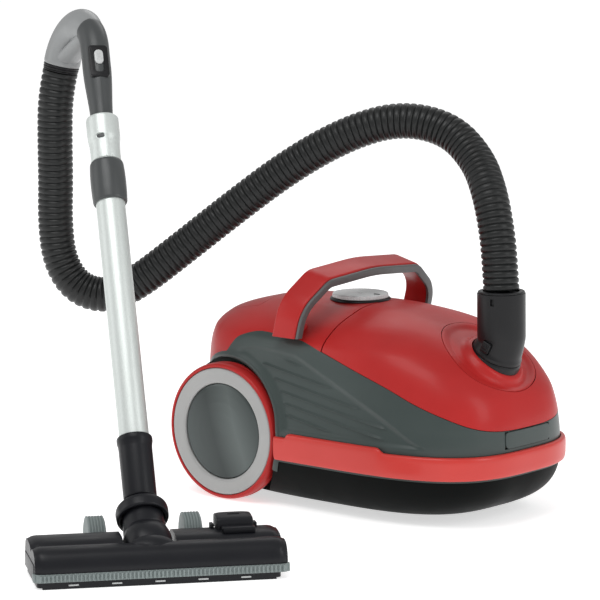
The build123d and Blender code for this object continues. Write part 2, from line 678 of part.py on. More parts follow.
with BuildPart() as lower_tube:
    add(bar(wand(LOWER_START), TUBE_R, LOWER_END - LOWER_START, TUBE_BORE))
save(lower_tube.part, "lower_tube")

with BuildPart() as neck_socket:
    add(bar(wand(48), 19.4, 70, TUBE_R + 0.02))
    add(bar(wand(116), 20.8, 7.5, TUBE_R + 0.02))
    add(bar(SWIVEL.offset(-2.6), 23.7, 20.8, 13))
    add(bar(wand(52), 19.4, 18, 14))
    add(bar(wand(52), TUBE_R + 0.02, 0.01), mode=Mode.SUBTRACT)
save(neck_socket.part, "neck_socket")

with BuildPart() as telescope_collar:
    add(bar(wand(COLLAR_START), 21.4, COLLAR_END - COLLAR_START, TUBE_R + 0.06))
    rim = telescope_collar.edges().filter_by(GeomType.CIRCLE).sort_by(SortBy.RADIUS)[-2:]
    fillet(rim, 2.5)
save(telescope_collar.part, "telescope_collar")

with BuildPart() as upper_tube:
    add(bar(wand(INNER_START), INNER_R, SLEEVE_END - 4 - INNER_START, INNER_BORE))
save(upper_tube.part, "upper_tube")

with BuildPart() as tube_sleeve:
    add(bar(wand(SLEEVE_START), 18.2, 8, INNER_R + 0.02))
    add(bar(wand(SLEEVE_START + 8), 19.8, SLEEVE_END - SLEEVE_START - 8, INNER_R + 0.02))
    rim = tube_sleeve.edges().filter_by(GeomType.CIRCLE).sort_by(SortBy.RADIUS)[-1:]
    fillet(rim, 2)
save(tube_sleeve.part, "tube_sleeve")


def hook_path(first_angle, last_angle, lead=0.0):
    """The hook's middle line between two angles, with a straight lead before it."""
    with BuildLine() as path:
        if lead:
            start = WAND.from_local_coords((0, 0, HOOK_START - lead))
            Line(start, WAND.from_local_coords((0, 0, HOOK_START)))
        middle = hook((first_angle + last_angle) / 2).origin
        ThreePointArc(hook(first_angle).origin, middle, hook(last_angle).origin)
    return path.line


STEM_LEAD = HOOK_START - SLEEVE_END + 4
with BuildPart() as handle_stem:
    for radius, mode in ((STEM_R, Mode.ADD), (STEM_BORE, Mode.SUBTRACT)):
        with BuildSketch(wand(HOOK_START - STEM_LEAD)):
            Circle(radius)
        sweep(path=hook_path(0, 70, STEM_LEAD), mode=mode)
save(handle_stem.part, "handle_stem")

with BuildPart() as handle_bend:
    for radius, mode in ((BEND_R, Mode.ADD), (STEM_R + 0.05, Mode.SUBTRACT)):
        with BuildSketch(hook(BEND_FROM)):
            Circle(radius)
        sweep(path=hook_path(BEND_FROM, HOOK_SWEEP), mode=mode)
    add(bar(hook(HOOK_SWEEP), BEND_R + 1, 2, STEM_R))
save(handle_bend.part, "handle_bend")

with BuildPart() as hose_cuff_handle:
    add(bar(hook(HOOK_SWEEP, 2.3), 23, HOOK_TAIL - 2.6, 13))
    add(bar(hook(HOOK_SWEEP, -1.5), STEM_R - 0.2, 4, 13))
save(hose_cuff_handle.part, "hose_cuff_handle")

panel = Plane(
    origin=WAND.from_local_coords((0, 0, 618)) - HOOK_DIR * (STEM_R - 1.5), x_dir=HOOK.z_dir, z_dir=-HOOK_DIR
)
with BuildPart() as bleed_panel:
    add(slab(panel, 20, 44, 3.5, 4))
    add(slab(panel.offset(1.5), 10.8, 28, 5, 3), mode=Mode.SUBTRACT)
save(bleed_panel.part, "bleed_panel")

with BuildPart() as bleed_slider:
    seat = Plane(origin=panel.from_local_coords((0, 5, 1.8)), x_dir=panel.x_dir, z_dir=panel.z_dir)
    add(slab(seat, 10, 17, 3.6, 4.5))
save(bleed_slider.part, "bleed_slider")

# ---- The floor nozzle ----------------------------------------------------------------------
with BuildPart() as nozzle_joint:
    pivot = nozzle_end(WAND_BASE[0] - 29, *TILT_AXIS)
    add(bar(pivot, 19, 58))
    centre = NOZZLE.from_local_coords((WAND_BASE[0], *TILT_AXIS))
    duct = Plane(origin=centre, x_dir=NOZZLE.x_dir, z_dir=SWIVEL.origin - centre)
    reach = (SWIVEL.origin - duct.origin).length
    add(bar(duct, 19, reach - 9))
    add(bar(duct.offset(20), 26, reach - 28.5))
    fillet(nozzle_joint.edges().filter_by(GeomType.CIRCLE).sort_by(SortBy.RADIUS)[-2:], 4)
    add(bar(pivot.offset(-1), 4.05, 60), mode=Mode.SUBTRACT)
save(nozzle_joint.part, "nozzle_joint")

with BuildPart() as swivel_ring:
    add(bar(SWIVEL.offset(-6), 32, 10, 24))
    add(bar(SWIVEL.offset(-6), 25, 3, 15))
    fillet(swivel_ring.edges().filter_by(GeomType.CIRCLE).sort_by(SortBy.RADIUS)[-2:], 3)
save(swivel_ring.part, "swivel_ring")

PEDAL_AXIS = (97.0, 78.0, 42.0)
BODY_SIDE = [(0, 8), (0, 20), (10, 31), (26, 37), (44, 38), (80, 38), (92, 34), (97, 26), (97, 8)]
BODY_ROOM = [(3, 8), (3, 19), (12, 28), (27, 34), (44, 35), (80, 35), (90, 31), (94, 25), (94, 8)]
POCKET_HALF = 30.5
with BuildPart() as nozzle_body:
    with BuildSketch(nozzle_end(-NOZZLE_LONG / 2, 0, 0)):
        Polygon(*BODY_SIDE, align=None)
    extrude(amount=NOZZLE_LONG)
    ends = nozzle_body.edges().filter_by(lambda edge: abs((edge % 0.5).dot(NOZZLE.x_dir)) < 0.5)
    fillet(ends.group_by(Axis.Z)[-1], 5)
    with BuildSketch(nozzle_end(-NOZZLE_LONG / 2 + 3, 0, 0)):
        Polygon(*BODY_ROOM, align=None)
    extrude(amount=NOZZLE_LONG - 6, mode=Mode.SUBTRACT)
    pocket = nozzle(WAND_BASE[0], 34 + 40, 8)
    add(slab(pocket, 2 * POCKET_HALF + 6, 86, 27))
    add(slab(nozzle(WAND_BASE[0], 34 + 43, 7), 2 * POCKET_HALF, 86, 60), mode=Mode.SUBTRACT)
    for x in (-POCKET_HALF - 1.5, POCKET_HALF + 1.5):
        add(slab(nozzle(WAND_BASE[0] + x, TILT_AXIS[0], 8), 3, 20, 27))
    add(bar(nozzle_end(WAND_BASE[0] - 40, *TILT_AXIS), 4.02, 80), mode=Mode.SUBTRACT)
    # ears of the foot pedal
    for x in (PEDAL_AXIS[0] - 25, PEDAL_AXIS[0] + 25):
        add(slab(nozzle(x, PEDAL_AXIS[1], 36), 4, 12, 11))
    add(bar(nozzle_end(PEDAL_AXIS[0] - 30, *PEDAL_AXIS[1:]), 3.05, 60), mode=Mode.SUBTRACT)
    for x in (-NOZZLE_WHEEL_X, NOZZLE_WHEEL_X):
        inner_side = 1 if x < 0 else -1
        arm = nozzle(x + inner_side * (NOZZLE_WHEEL_W / 2 + 3), 112, 12)
        add(slab(arm, 4, 42, 22))
        add(bar(nozzle_end(x - 20, NOZZLE_WHEEL_Y, NOZZLE_WHEEL_R), 2.52, 40), mode=Mode.SUBTRACT)
save(nozzle_body.part, "nozzle_body")

with BuildPart() as nozzle_sole:
    add(slab(nozzle(0, NOZZLE_DEEP / 2, 2), NOZZLE_LONG - 4, NOZZLE_DEEP - 4, 5.8, 6))
    add(slab(nozzle(0, 30, 1), NOZZLE_LONG - 60, 16, 8), mode=Mode.SUBTRACT)
    add(slab(nozzle(0, 4.5, 0), NOZZLE_LONG - 16, 5, 3))
    add(slab(nozzle(0, 90, 0), NOZZLE_LONG - 16, 5, 3))
    add(slab(nozzle(0, 60, 1), NOZZLE_LONG - 30, 11.4, 6), mode=Mode.SUBTRACT)
save(nozzle_sole.part, "nozzle_sole")

with BuildPart() as nozzle_strip:
    with BuildSketch(nozzle(0, 0, 8.2)):
        with Locations((0, 6)):
            RectangleRounded(NOZZLE_LONG + 4, 16, 3)
        with Locations((0, 11)):
            Rectangle(NOZZLE_LONG + 0.2, 21.8, mode=Mode.SUBTRACT)
    extrude(amount=8.6)
save(nozzle_strip.part, "nozzle_strip")

with BuildPart() as nozzle_pins:
    add(bar(nozzle_end(WAND_BASE[0] - 33, *TILT_AXIS), 4, 66))
    for x in (-NOZZLE_WHEEL_X, NOZZLE_WHEEL_X):
        add(bar(nozzle_end(x - 16, NOZZLE_WHEEL_Y, NOZZLE_WHEEL_R), 2.5, 32))
save(nozzle_pins.part, "nozzle_pins")

for x, name in ((-NOZZLE_WHEEL_X, "left"), (NOZZLE_WHEEL_X, "right")):
    with BuildPart() as wheel:
        axle = nozzle_end(x - NOZZLE_WHEEL_W / 2, NOZZLE_WHEEL_Y, NOZZLE_WHEEL_R)
        add(bar(axle, NOZZLE_WHEEL_R, NOZZLE_WHEEL_W, 2.55))
        fillet(wheel.edges().filter_by(GeomType.CIRCLE).sort_by(SortBy.RADIUS)[-2:], 3)
    save(wheel.part, f"nozzle_wheel_{name}")

with BuildPart() as nozzle_pedal:
    add(slab(nozzle(97, 74, 42), 42, 34, 15, 5))
    add(slab(nozzle(99, 55, 39.5), 34, 12, 8, 3))
    add(bar(nozzle_end(PEDAL_AXIS[0] - 28, *PEDAL_AXIS[1:]), 3, 56))
save(nozzle_pedal.part, "nozzle_pedal")

with BuildPart() as brush_strip:
    add(slab(nozzle(0, 60, 3.0), NOZZLE_LONG - 32, 10, 3.4))
save(brush_strip.part, "brush_strip")
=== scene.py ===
import json
from math import acos, ceil, cos, pi, radians, sin, sqrt, tan

import bmesh
import bpy
from mathutils import Matrix, Vector


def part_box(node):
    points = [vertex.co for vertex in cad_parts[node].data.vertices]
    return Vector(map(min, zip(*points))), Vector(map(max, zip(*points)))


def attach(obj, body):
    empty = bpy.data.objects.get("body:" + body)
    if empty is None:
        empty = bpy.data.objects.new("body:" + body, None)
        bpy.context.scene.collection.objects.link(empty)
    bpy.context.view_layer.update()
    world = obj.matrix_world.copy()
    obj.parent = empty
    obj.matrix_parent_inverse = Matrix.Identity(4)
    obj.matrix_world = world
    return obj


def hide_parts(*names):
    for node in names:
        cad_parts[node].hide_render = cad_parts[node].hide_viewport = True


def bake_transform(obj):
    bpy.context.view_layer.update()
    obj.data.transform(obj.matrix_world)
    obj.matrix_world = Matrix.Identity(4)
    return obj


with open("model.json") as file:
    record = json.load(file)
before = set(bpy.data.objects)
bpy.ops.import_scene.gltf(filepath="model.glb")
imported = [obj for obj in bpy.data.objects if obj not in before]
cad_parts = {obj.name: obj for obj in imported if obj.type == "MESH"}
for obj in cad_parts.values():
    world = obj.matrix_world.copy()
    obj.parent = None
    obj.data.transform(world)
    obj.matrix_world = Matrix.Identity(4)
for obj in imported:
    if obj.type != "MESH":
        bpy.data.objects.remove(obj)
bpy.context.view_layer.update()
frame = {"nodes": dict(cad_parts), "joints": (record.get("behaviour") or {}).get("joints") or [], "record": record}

# Canister vacuum cleaner: the looks of each piece, in metres, in the CAD model's frame.
joints = {joint["name"]: joint for joint in frame["joints"]}


FORWARD, LEFT, UP = Vector((1, 0, 0)), Vector((0, 1, 0)), Vector((0, 0, 1))
HANDS = ((1, "left"), (-1, "right"))


def place(name):
    """Where a joint is."""
    return Vector(joints[name]["pos_m"])


def heading(name):
    """The axis of a joint."""
    return Vector(joints[name]["axis"]).normalized()


def middle(node):
    """The centre of a CAD node's box."""
    low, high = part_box(node)
    return (Vector(low) + Vector(high)) / 2


# ---- Frames of the canister, the wand and the nozzle ------------------------
WHEEL_X = -0.105
CAN = Vector((place("wheel_left_roll").x - WHEEL_X, middle("bag_lid").y, 0))
NOZZLE_ALONG = heading("nozzle_tilt")
NOZZLE_BACK = Vector((-NOZZLE_ALONG.y, NOZZLE_ALONG.x, 0))
NOZZLE_TILT = (-0.005, 0.058, 0.028)
NOZZLE_AT = place("nozzle_tilt") - NOZZLE_ALONG * NOZZLE_TILT[0] - NOZZLE_BACK * NOZZLE_TILT[1]
NOZZLE_AT.z = 0
WAND_UP = heading("telescope_slide")
WAND_AT = middle("lower_tube") - WAND_UP * 0.277
HOOK_TURN, HOOK_START, HOOK_R, HOOK_SWEEP = radians(18), 0.640, 0.050, radians(140)
WAND_BACK = WAND_UP.cross(NOZZLE_ALONG)
HOOK_BACK = WAND_BACK * cos(HOOK_TURN) - NOZZLE_ALONG * sin(HOOK_TURN)
HOOK_SIDE = HOOK_BACK.cross(WAND_UP)


def can(x, y, z):
    """A point in the canister's frame."""
    return CAN + Vector((x, y, z))


def noz(x, y, z):
    """A point in the nozzle's frame: along it, to its back, and up."""
    return NOZZLE_AT + NOZZLE_ALONG * x + NOZZLE_BACK * y + Vector((0, 0, z))


def wand(reach):
    """A point on the wand's axis."""
    return WAND_AT + WAND_UP * reach


def hook(turn, tail=0.0):
    """A point on the middle line of the wand's hook, and the direction of that line."""
    back = HOOK_R - HOOK_R * cos(turn) + tail * sin(turn)
    up = HOOK_R * sin(turn) + tail * cos(turn)
    point = wand(HOOK_START) + HOOK_BACK * back + WAND_UP * up
    return point, HOOK_BACK * sin(turn) + WAND_UP * cos(turn)


# ---- Camera -----------------------------------------------------------------
CAMERA_TURN, CAMERA_TILT = radians(40), radians(9)
camera_data = bpy.data.cameras.new("camera")
camera_data.lens = 210
camera_data.sensor_width = 36
camera_data.clip_end = 50
camera = bpy.data.objects.new("camera", camera_data)
camera.location = (2.7492, -3.1139, 0.9301)
camera.rotation_euler = (pi / 2 - CAMERA_TILT, 0, CAMERA_TURN)
bpy.context.scene.collection.objects.link(camera)
bpy.context.scene.camera = camera


# ---- Materials ----------------------------------------------------------------
class Shader:
    """A material with a Principled shader, and short calls for the nodes that feed it."""

    def __init__(self, name, rough=0.4, metal=0.0, coat=0.0, coat_rough=0.1, level=0.5):
        self.material = bpy.data.materials.new(name)
        self.material.use_nodes = True
        self.nodes = self.material.node_tree.nodes
        self.links = self.material.node_tree.links
        self.out = self.nodes["Principled BSDF"]
        self.out.inputs["Roughness"].default_value = rough
        self.out.inputs["Metallic"].default_value = metal
        self.out.inputs["Coat Weight"].default_value = coat
        self.out.inputs["Coat Roughness"].default_value = coat_rough
        self.out.inputs["Specular IOR Level"].default_value = level
        self.place = self.nodes.new("ShaderNodeTexCoord").outputs["Object"]

    def mapped(self, scale, turn=(0, 0, 0)):
        """The object's coordinates, turned and stretched."""
        node = self.nodes.new("ShaderNodeMapping")
        node.inputs["Scale"].default_value = scale
        node.inputs["Rotation"].default_value = turn
        self.links.new(self.place, node.inputs["Vector"])
        return node.outputs["Vector"]

    def noise(self, scale, detail=3.0, vector=None):
        """A noise pattern from 0 to 1."""
        node = self.nodes.new("ShaderNodeTexNoise")
        node.inputs["Scale"].default_value = scale
        node.inputs["Detail"].default_value = detail
        self.links.new(vector or self.place, node.inputs["Vector"])
        return node.outputs["Fac"]

    def ramp(self, value, stops):
        """A colour or a grey that follows a value, through (position, colour) stops."""
        node = self.nodes.new("ShaderNodeValToRGB")
        while len(node.color_ramp.elements) < len(stops):
            node.color_ramp.elements.new(0.5)
        for element, (position, colour) in zip(node.color_ramp.elements, stops):
            element.position = position
            element.color = (*colour, 1) if isinstance(colour, tuple) else (colour, colour, colour, 1)
        self.links.new(value, node.inputs["Fac"])
        return node.outputs["Color"]

    def colour(self, output):
        self.links.new(output, self.out.inputs["Base Color"])

    def roughness(self, output):
        self.links.new(output, self.out.inputs["Roughness"])

    def bump(self, *layers):
        """Relief from (height, strength, distance) layers, each on the one before."""
        normal = None
        for height, strength, distance in layers:
            node = self.nodes.new("ShaderNodeBump")
            node.inputs["Strength"].default_value = strength
            node.inputs["Distance"].default_value = distance
            self.links.new(height, node.inputs["Height"])
            if normal:
                self.links.new(normal, node.inputs["Normal"])
            normal = node.outputs["Normal"]
        self.links.new(normal, self.out.inputs["Normal"])


def shade(colour, factor):
    """A colour made lighter or darker."""
    return tuple(min(1.0, part * factor) for part in colour)


def moulded(name, colour, rough, coat=0.0, grain=0.15, grain_scale=900, level=0.5, metal=0.0):
    """Moulded plastic: a fine grain, faint flow marks and smudges."""
    look = Shader(name, rough, metal, coat, 0.08, level)
    flow = look.noise(9, 4)
    look.colour(look.ramp(flow, [(0.30, shade(colour, 0.93)), (0.5, colour), (0.72, shade(colour, 1.07))]))
    smudge = look.noise(26, 5)
    look.roughness(look.ramp(smudge, [(0.3, rough * 0.88), (0.7, min(1, rough * 1.14))]))
    look.bump((look.noise(14, 1), 0.05, 0.002), (look.noise(grain_scale, 2), grain, 0.0003))
    return look.material


def sheen_painted_cap(name, dark, light):
    """A dished metallic cap whose colour holds a painted sheen: a slanted painted highlight band beside a painted
    darker shade band.
    """
    look = Shader(name, 0.30, 0.55, 0.1, 0.1, 0.4)
    spread = look.nodes.new("ShaderNodeTexCoord").outputs["Generated"]
    across = look.nodes.new("ShaderNodeVectorMath")
    across.operation = "DOT_PRODUCT"
    across.inputs[1].default_value = (0.75, 0.0, 0.25)
    look.links.new(spread, across.inputs[0])
    between = shade(dark, 1.4)
    # painted light: the dark stop is painted shade and the light stop a painted highlight, laid across the cap as
    # slanted bands
    stops = [(0.15, between), (0.42, dark), (0.66, light), (0.85, between)]
    look.colour(look.ramp(across.outputs["Value"], stops))
    look.bump((look.noise(30, 1), 0.03, 0.001))
    return look.material


RED = (0.420, 0.020, 0.019)
BUMPER = (0.560, 0.036, 0.028)
GREY = (0.040, 0.055, 0.052)
BLACK = (0.0035, 0.0042, 0.0040)

NOZZLE_BLACK = (0.0095, 0.010, 0.0125)
HOSE_BLACK = (0.010, 0.0108, 0.0108)
SILVER = (0.36, 0.36, 0.355)

looks = {
    "body_red": moulded("body_red", RED, 0.38, coat=0.04, grain=0.02, grain_scale=500, level=0.20),
    "bumper_red": moulded("bumper_red", BUMPER, 0.34, coat=0.1, grain=0.10, level=0.4),
    "shell_grey": moulded("shell_grey", GREY, 0.36, grain=0.10, grain_scale=1400, level=0.38),
    "chassis_black": moulded("chassis_black", BLACK, 0.46, grain=0.15, grain_scale=1100, level=0.05),
    "trim_black": moulded("trim_black", (0.010, 0.010, 0.011), 0.34, grain=0.12, level=0.25),
    "wheel_silver": moulded("wheel_silver", SILVER, 0.42, 0.0, 0.06, 1800, level=0.4, metal=0.25),
    # the hub's colour carries a painted slanted highlight and painted shade
    "wheel_hub": sheen_painted_cap("wheel_hub", (0.040, 0.048, 0.047), (0.105, 0.122, 0.119)),
    "handle_grey": moulded("handle_grey", (0.085, 0.088, 0.088), 0.45, grain=0.35, grain_scale=1300),
    "dial_silver": moulded("dial_silver", (0.62, 0.63, 0.63), 0.22, coat=0.4, grain=0.03),
    "hose_black": moulded("hose_black", HOSE_BLACK, 0.38, grain=0.18, grain_scale=1200, level=0.32),
    "stem_grey": moulded("stem_grey", (0.056, 0.060, 0.061), 0.36, grain=0.12, level=0.35),
    "bend_grey": moulded("bend_grey", (0.250, 0.258, 0.260), 0.33, grain=0.10, level=0.4),
    "button_grey": moulded("button_grey", (0.52, 0.53, 0.53), 0.30, grain=0.05),
    "nozzle_black": moulded("nozzle_black", NOZZLE_BLACK, 0.36, grain=0.12, grain_scale=1200, level=0.22),
    "nozzle_grey": moulded("nozzle_grey", (0.200, 0.235, 0.232), 0.60, grain=0.25),
    "rubber": moulded("rubber", (0.022, 0.022, 0.022), 0.75, grain=0.5, grain_scale=700),
    "board": moulded("board", (0.03, 0.16, 0.06), 0.45, grain=0.25, grain_scale=300),
}


def satin_tube():
    """Satin anodised aluminium, drawn along the tube."""
    look = Shader("tube_satin", 0.42, 0.6, level=0.4)
    turn = WAND_UP.rotation_difference(UP).to_euler()
    streaks = look.noise(60, 3, look.mapped((14, 14, 0.35), turn))
    look.colour(look.ramp(streaks, [(0.25, (0.60, 0.64, 0.62)), (0.75, (0.68, 0.72, 0.70))]))
    look.roughness(look.ramp(streaks, [(0.3, 0.40), (0.7, 0.48)]))
    look.bump((streaks, 0.06, 0.0003), (look.noise(2200, 1), 0.04, 0.0002))
    return look.material


def bare_metal(name, colour, rough):
    """Turned steel, with fine rings and stains."""
    look = Shader(name, rough, 1.0)
    stain = look.noise(40, 5)
    look.colour(look.ramp(stain, [(0.3, shade(colour, 0.8)), (0.7, colour)]))
    look.roughness(look.ramp(look.noise(160, 4), [(0.3, rough * 0.8), (0.7, rough * 1.3)]))
    look.bump((look.noise(1500, 2), 0.15, 0.0002))
    return look.material


def fibre(name, colour, scale):
    """Filter fleece and bag paper: crossed fibres, quite matt."""
    look = Shader(name, 0.9, 0.0, level=0.2)
    one = look.noise(scale, 6, look.mapped((1, 6, 6)))
    look.colour(look.ramp(one, [(0.3, shade(colour, 0.8)), (0.7, colour)]))
    look.bump((one, 0.4, 0.0006), (look.noise(scale, 6, look.mapped((6, 1, 6))), 0.4, 0.0006))
    return look.material


looks["tube_satin"] = satin_tube()
looks["steel"] = bare_metal("steel", (0.55, 0.55, 0.55), 0.32)
looks["copper_motor"] = bare_metal("copper_motor", (0.42, 0.40, 0.37), 0.45)
looks["paper"] = fibre("paper", (0.68, 0.63, 0.55), 260)
looks["foam"] = fibre("foam", (0.16, 0.16, 0.18), 420)
looks["bristle"] = fibre("bristle", (0.04, 0.04, 0.04), 800)

for part in frame["record"]["subparts"]:
    data = frame["nodes"][part["node"]].data
    data.materials.clear()
    data.materials.append(looks[part["material_slot"]])


# ---- Mesh helpers ---------------------------------------------------------------
def piece(name, bm, slot, body, nodes=(), smooth=40.0, bevel=0.0, ride=True):
    """A finished piece: shaded smooth except at sharp edges, with its look, body and CAD nodes."""
    bmesh.ops.recalc_face_normals(bm, faces=bm.faces)
    mesh = bpy.data.meshes.new(name)
    bm.to_mesh(mesh)
    bm.free()
    obj = bpy.data.objects.new(name, mesh)
    bpy.context.scene.collection.objects.link(obj)
    if bevel:
        rounding = obj.modifiers.new("rounding", "BEVEL")
        rounding.width = bevel
        rounding.segments = 3
        rounding.limit_method = "ANGLE"
        rounding.angle_limit = radians(38)
        apply_modifiers(obj)
    sharpen(obj, smooth)
    obj.data.materials.clear()
    obj.data.materials.append(looks[slot])
    if ride:
        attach(obj, body)
    if nodes:
        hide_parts(*nodes)
    return obj


def apply_modifiers(obj):
    """Gives the object the mesh that its modifiers make."""
    graph = bpy.context.evaluated_depsgraph_get()
    mesh = bpy.data.meshes.new_from_object(obj.evaluated_get(graph), depsgraph=graph)
    obj.modifiers.clear()
    obj.data = mesh


def sharpen(obj, angle):
    """Smooth shading, with a crease where faces turn by more than the angle."""
    bm = bmesh.new()
    bm.from_mesh(obj.data)
    for face in bm.faces:
        face.smooth = True
    for edge in bm.edges:
        if len(edge.link_faces) == 2:
            edge.smooth = edge.calc_face_angle(0) < radians(angle)
    bm.to_mesh(obj.data)
    bm.free()


def grid(rows, closed=False, wrapped=False, capped=False):
    """A surface through rows of points.

    closed joins each row's ends, and wrapped joins the last row to the first."""
    bm = bmesh.new()
    lines = [[bm.verts.new(point) for point in row] for row in rows]
    count = len(lines[0])
    pairs = list(zip(lines, lines[1:])) + ([(lines[-1], lines[0])] if wrapped else [])
    for one, two in pairs:
        for k in range(count if closed else count - 1):
            n = (k + 1) % count
            bm.faces.new((one[k], one[n], two[n], two[k]))
    if capped:
        bm.faces.new(reversed(lines[0]))
        bm.faces.new(lines[-1])
    bmesh.ops.remove_doubles(bm, verts=bm.verts, dist=1e-6)
    return bm


def lathe(origin, along, profile, steps=96):
    """A turned form: profile points are (distance along, radius), and the last joins the first."""
    across = along.orthogonal().normalized()
    up = along.cross(across)
    rows = []
    for k in range(steps):
        angle = 2 * pi * k / steps
        out = across * cos(angle) + up * sin(angle)
        rows.append([origin + along * reach + out * radius for reach, radius in profile])
    return grid(rows, closed=True, wrapped=True)


def rounded(profile, size, steps=4):
    """A closed profile of (a, b) points with each corner rounded by up to a size."""
    result = []
    count = len(profile)
    for k in range(count):
        before, corner, after = (Vector(profile[(k + n) % count]) for n in (-1, 0, 1))
        one, two = before - corner, after - corner
        reach = min(size, 0.45 * one.length, 0.45 * two.length)
        start, end = corner + one.normalized() * reach, corner + two.normalized() * reach
        for n in range(steps + 1):
            t = n / steps
            result.append(tuple(start * (1 - t) ** 2 + corner * 2 * t * (1 - t) + end * t**2))
    return result


def turned(name, origin, along, profile, slot, body, nodes=(), corner=0.0008, steps=96, smooth=50.0):
    """A lathed piece with its corners rounded."""
    bm = lathe(origin, along, rounded(profile, corner), steps)
    return piece(name, bm, slot, body, nodes, smooth)


def block(origin, x_dir, y_dir, z_dir, size, low, high):
    """A slab with a rounded outline (a, b, corner radius) between two heights above its origin."""
    a, b, corner = size
    outline = []
    for k in range(4):
        middle_x = (a / 2 - corner) * (1 if k in (0, 3) else -1)
        middle_y = (b / 2 - corner) * (1 if k in (0, 1) else -1)
        for n in range(7):
            angle = pi / 2 * (k + n / 6)
            outline.append((middle_x + corner * cos(angle), middle_y + corner * sin(angle)))
    rows = [[origin + x_dir * x + y_dir * y + z_dir * h for x, y in outline] for h in (low, high)]
    return grid(rows, closed=True, capped=True)


def holder(name, bm):
    """A bare object that carries a mesh until its modifiers are done."""
    bmesh.ops.recalc_face_normals(bm, faces=bm.faces)
    mesh = bpy.data.meshes.new(name)
    bm.to_mesh(mesh)
    bm.free()
    obj = bpy.data.objects.new(name, mesh)
    bpy.context.scene.collection.objects.link(obj)
    return obj


def combine(obj, cutter, operation="DIFFERENCE"):
    """Cuts or joins with another solid, given as a bmesh."""
    tool = holder("cutter", cutter)
    change = obj.modifiers.new("cut", "BOOLEAN")
    change.operation = operation
    change.solver = "EXACT"
    change.object = tool
    apply_modifiers(obj)
    bpy.data.objects.remove(tool)


def smooth_step(low, high, value):
    """0 below low, 1 above high, and an even curve between."""
    t = max(0.0, min(1.0, (value - low) / (high - low)))
    return t * t * (3 - 2 * t)


def curve_through(table, value):
    """A smooth curve through (value, result) rows that never overshoots them."""
    if value <= table[0][0]:
        return table[0][1]
    if value >= table[-1][0]:
        return table[-1][1]
    k = max(n for n in range(len(table) - 1) if table[n][0] <= value)

    def slope(n):
        if n in (0, len(table) - 1):
            return 0.0 if n else (table[1][1] - table[0][1]) / (table[1][0] - table[0][0])
        before = (table[n][1] - table[n - 1][1]) / (table[n][0] - table[n - 1][0])
        after = (table[n + 1][1] - table[n][1]) / (table[n + 1][0] - table[n][0])
        return 0.0 if before * after <= 0 else 2 * before * after / (before + after)

    width = table[k + 1][0] - table[k][0]
    t = (value - table[k][0]) / width
    rise = slope(k) * width * t * (1 - t) ** 2 - slope(k + 1) * width * t * t * (1 - t)
    return table[k][1] + (table[k + 1][1] - table[k][1]) * t * t * (3 - 2 * t) + rise


# ---- The canister's outer form ----------------------------------------------------
CROWN = 0.2485
LEVELS = [
    (0.012, -0.158, 0.214, 0.110, 0.050), (0.022, -0.176, 0.239, 0.124, 0.055),
    (0.060, -0.192, 0.266, 0.141, 0.060), (0.095, -0.196, 0.267, 0.141, 0.060),
    (0.120, -0.196, 0.266, 0.137, 0.060), (0.150, -0.196, 0.259, 0.133, 0.056),
    (0.180, -0.195, 0.236, 0.129, 0.050), (0.205, -0.190, 0.204, 0.121, 0.040),
    (0.225, -0.172, 0.168, 0.098, 0.028), (0.240, -0.130, 0.122, 0.062, 0.012),
    (0.247, -0.085, 0.078, 0.034, 0.000), (CROWN, 0.0, 0.0, 0.0, 0.0),
]
DEPTHS = [[(sqrt(CROWN - row[0]), row[n]) for row in reversed(LEVELS)] for n in (1, 2, 3, 4)]
FRONT_POWER, REAR_POWER = 3.1, 3.0
BELT = [
    (-0.260, 0.0952), (-0.153, 0.0956), (-0.146, 0.130), (-0.128, 0.168), (-0.097, 0.205),
    (-0.060, 0.214), (0.000, 0.211), (0.045, 0.200), (0.092, 0.186), (0.147, 0.168),
    (0.185, 0.152), (0.222, 0.137), (0.262, 0.119), (0.300, 0.106),
]
LID_SEAM = 0.0428
WELL_R, WELL_FACE, WHEEL_HIGH = 0.091, 0.1075, 0.086
COLUMNS = 240


def skin(angle, z, out=0.0):
    """A point of the canister's form at an angle about its middle and a height."""
    rear, front, half, mid = (curve_through(rows, sqrt(max(0.0, CROWN - z))) for rows in DEPTHS)
    along, across = cos(angle), sin(angle)
    power = FRONT_POWER if along > 0 else REAR_POWER
    size = (abs(along) ** power + abs(across) ** power) ** (-1 / power)
    reach = (front - mid if along > 0 else mid - rear) + out
    return Vector((mid + reach * size * along, (half + out) * size * across, z))


def belt_height(angle):
    """The height of the seam between the grey shell and the red covers, at an angle."""
    low, high = 0.09, 0.22
    for _ in range(26):
        z = (low + high) / 2
        if z < curve_through(BELT, skin(angle, z).x):
            low = z
        else:
            high = z
    return low


ANGLES = [2 * pi * k / COLUMNS for k in range(COLUMNS)]
SEAM = [belt_height(angle) for angle in ANGLES]


def upper_rows(gap, steps=64):
    """Rows of the red form from the seam to the crown."""
    rows = []
    for n in range(steps):
        share = n / steps
        row = []
        for angle, seam in zip(ANGLES, SEAM):
            root = sqrt(CROWN - seam - gap) * (1 - share)
            row.append(can(*skin(angle, CROWN - root * root)))
        rows.append(row)
    return rows + [[can(0, 0, CROWN)] * COLUMNS]


def shell(bm, thickness):
    """Gives an open surface an inner side."""
    obj = holder("shell", bm)
    wall = obj.modifiers.new("wall", "SOLIDIFY")
    wall.thickness = thickness
    wall.offset = -1
    wall.use_even_offset = True
    apply_modifiers(obj)
    return obj


def keep_side(bm, point, normal):
    """Keeps the half that lies behind a plane."""
    parts = bm.verts[:] + bm.edges[:] + bm.faces[:]
    bmesh.ops.bisect_plane(bm, geom=parts, dist=1e-6, plane_co=point, plane_no=normal, clear_outer=True)
    return bm


def box_cutter(x, y, z, corner=0.0):
    """A box in the canister's frame, with its upright edges rounded."""
    centre = can((x[0] + x[1]) / 2, (y[0] + y[1]) / 2, 0)
    size = (x[1] - x[0], y[1] - y[0], corner or 0.0001)
    return block(centre, FORWARD, LEFT, UP, size, z[0], z[1])


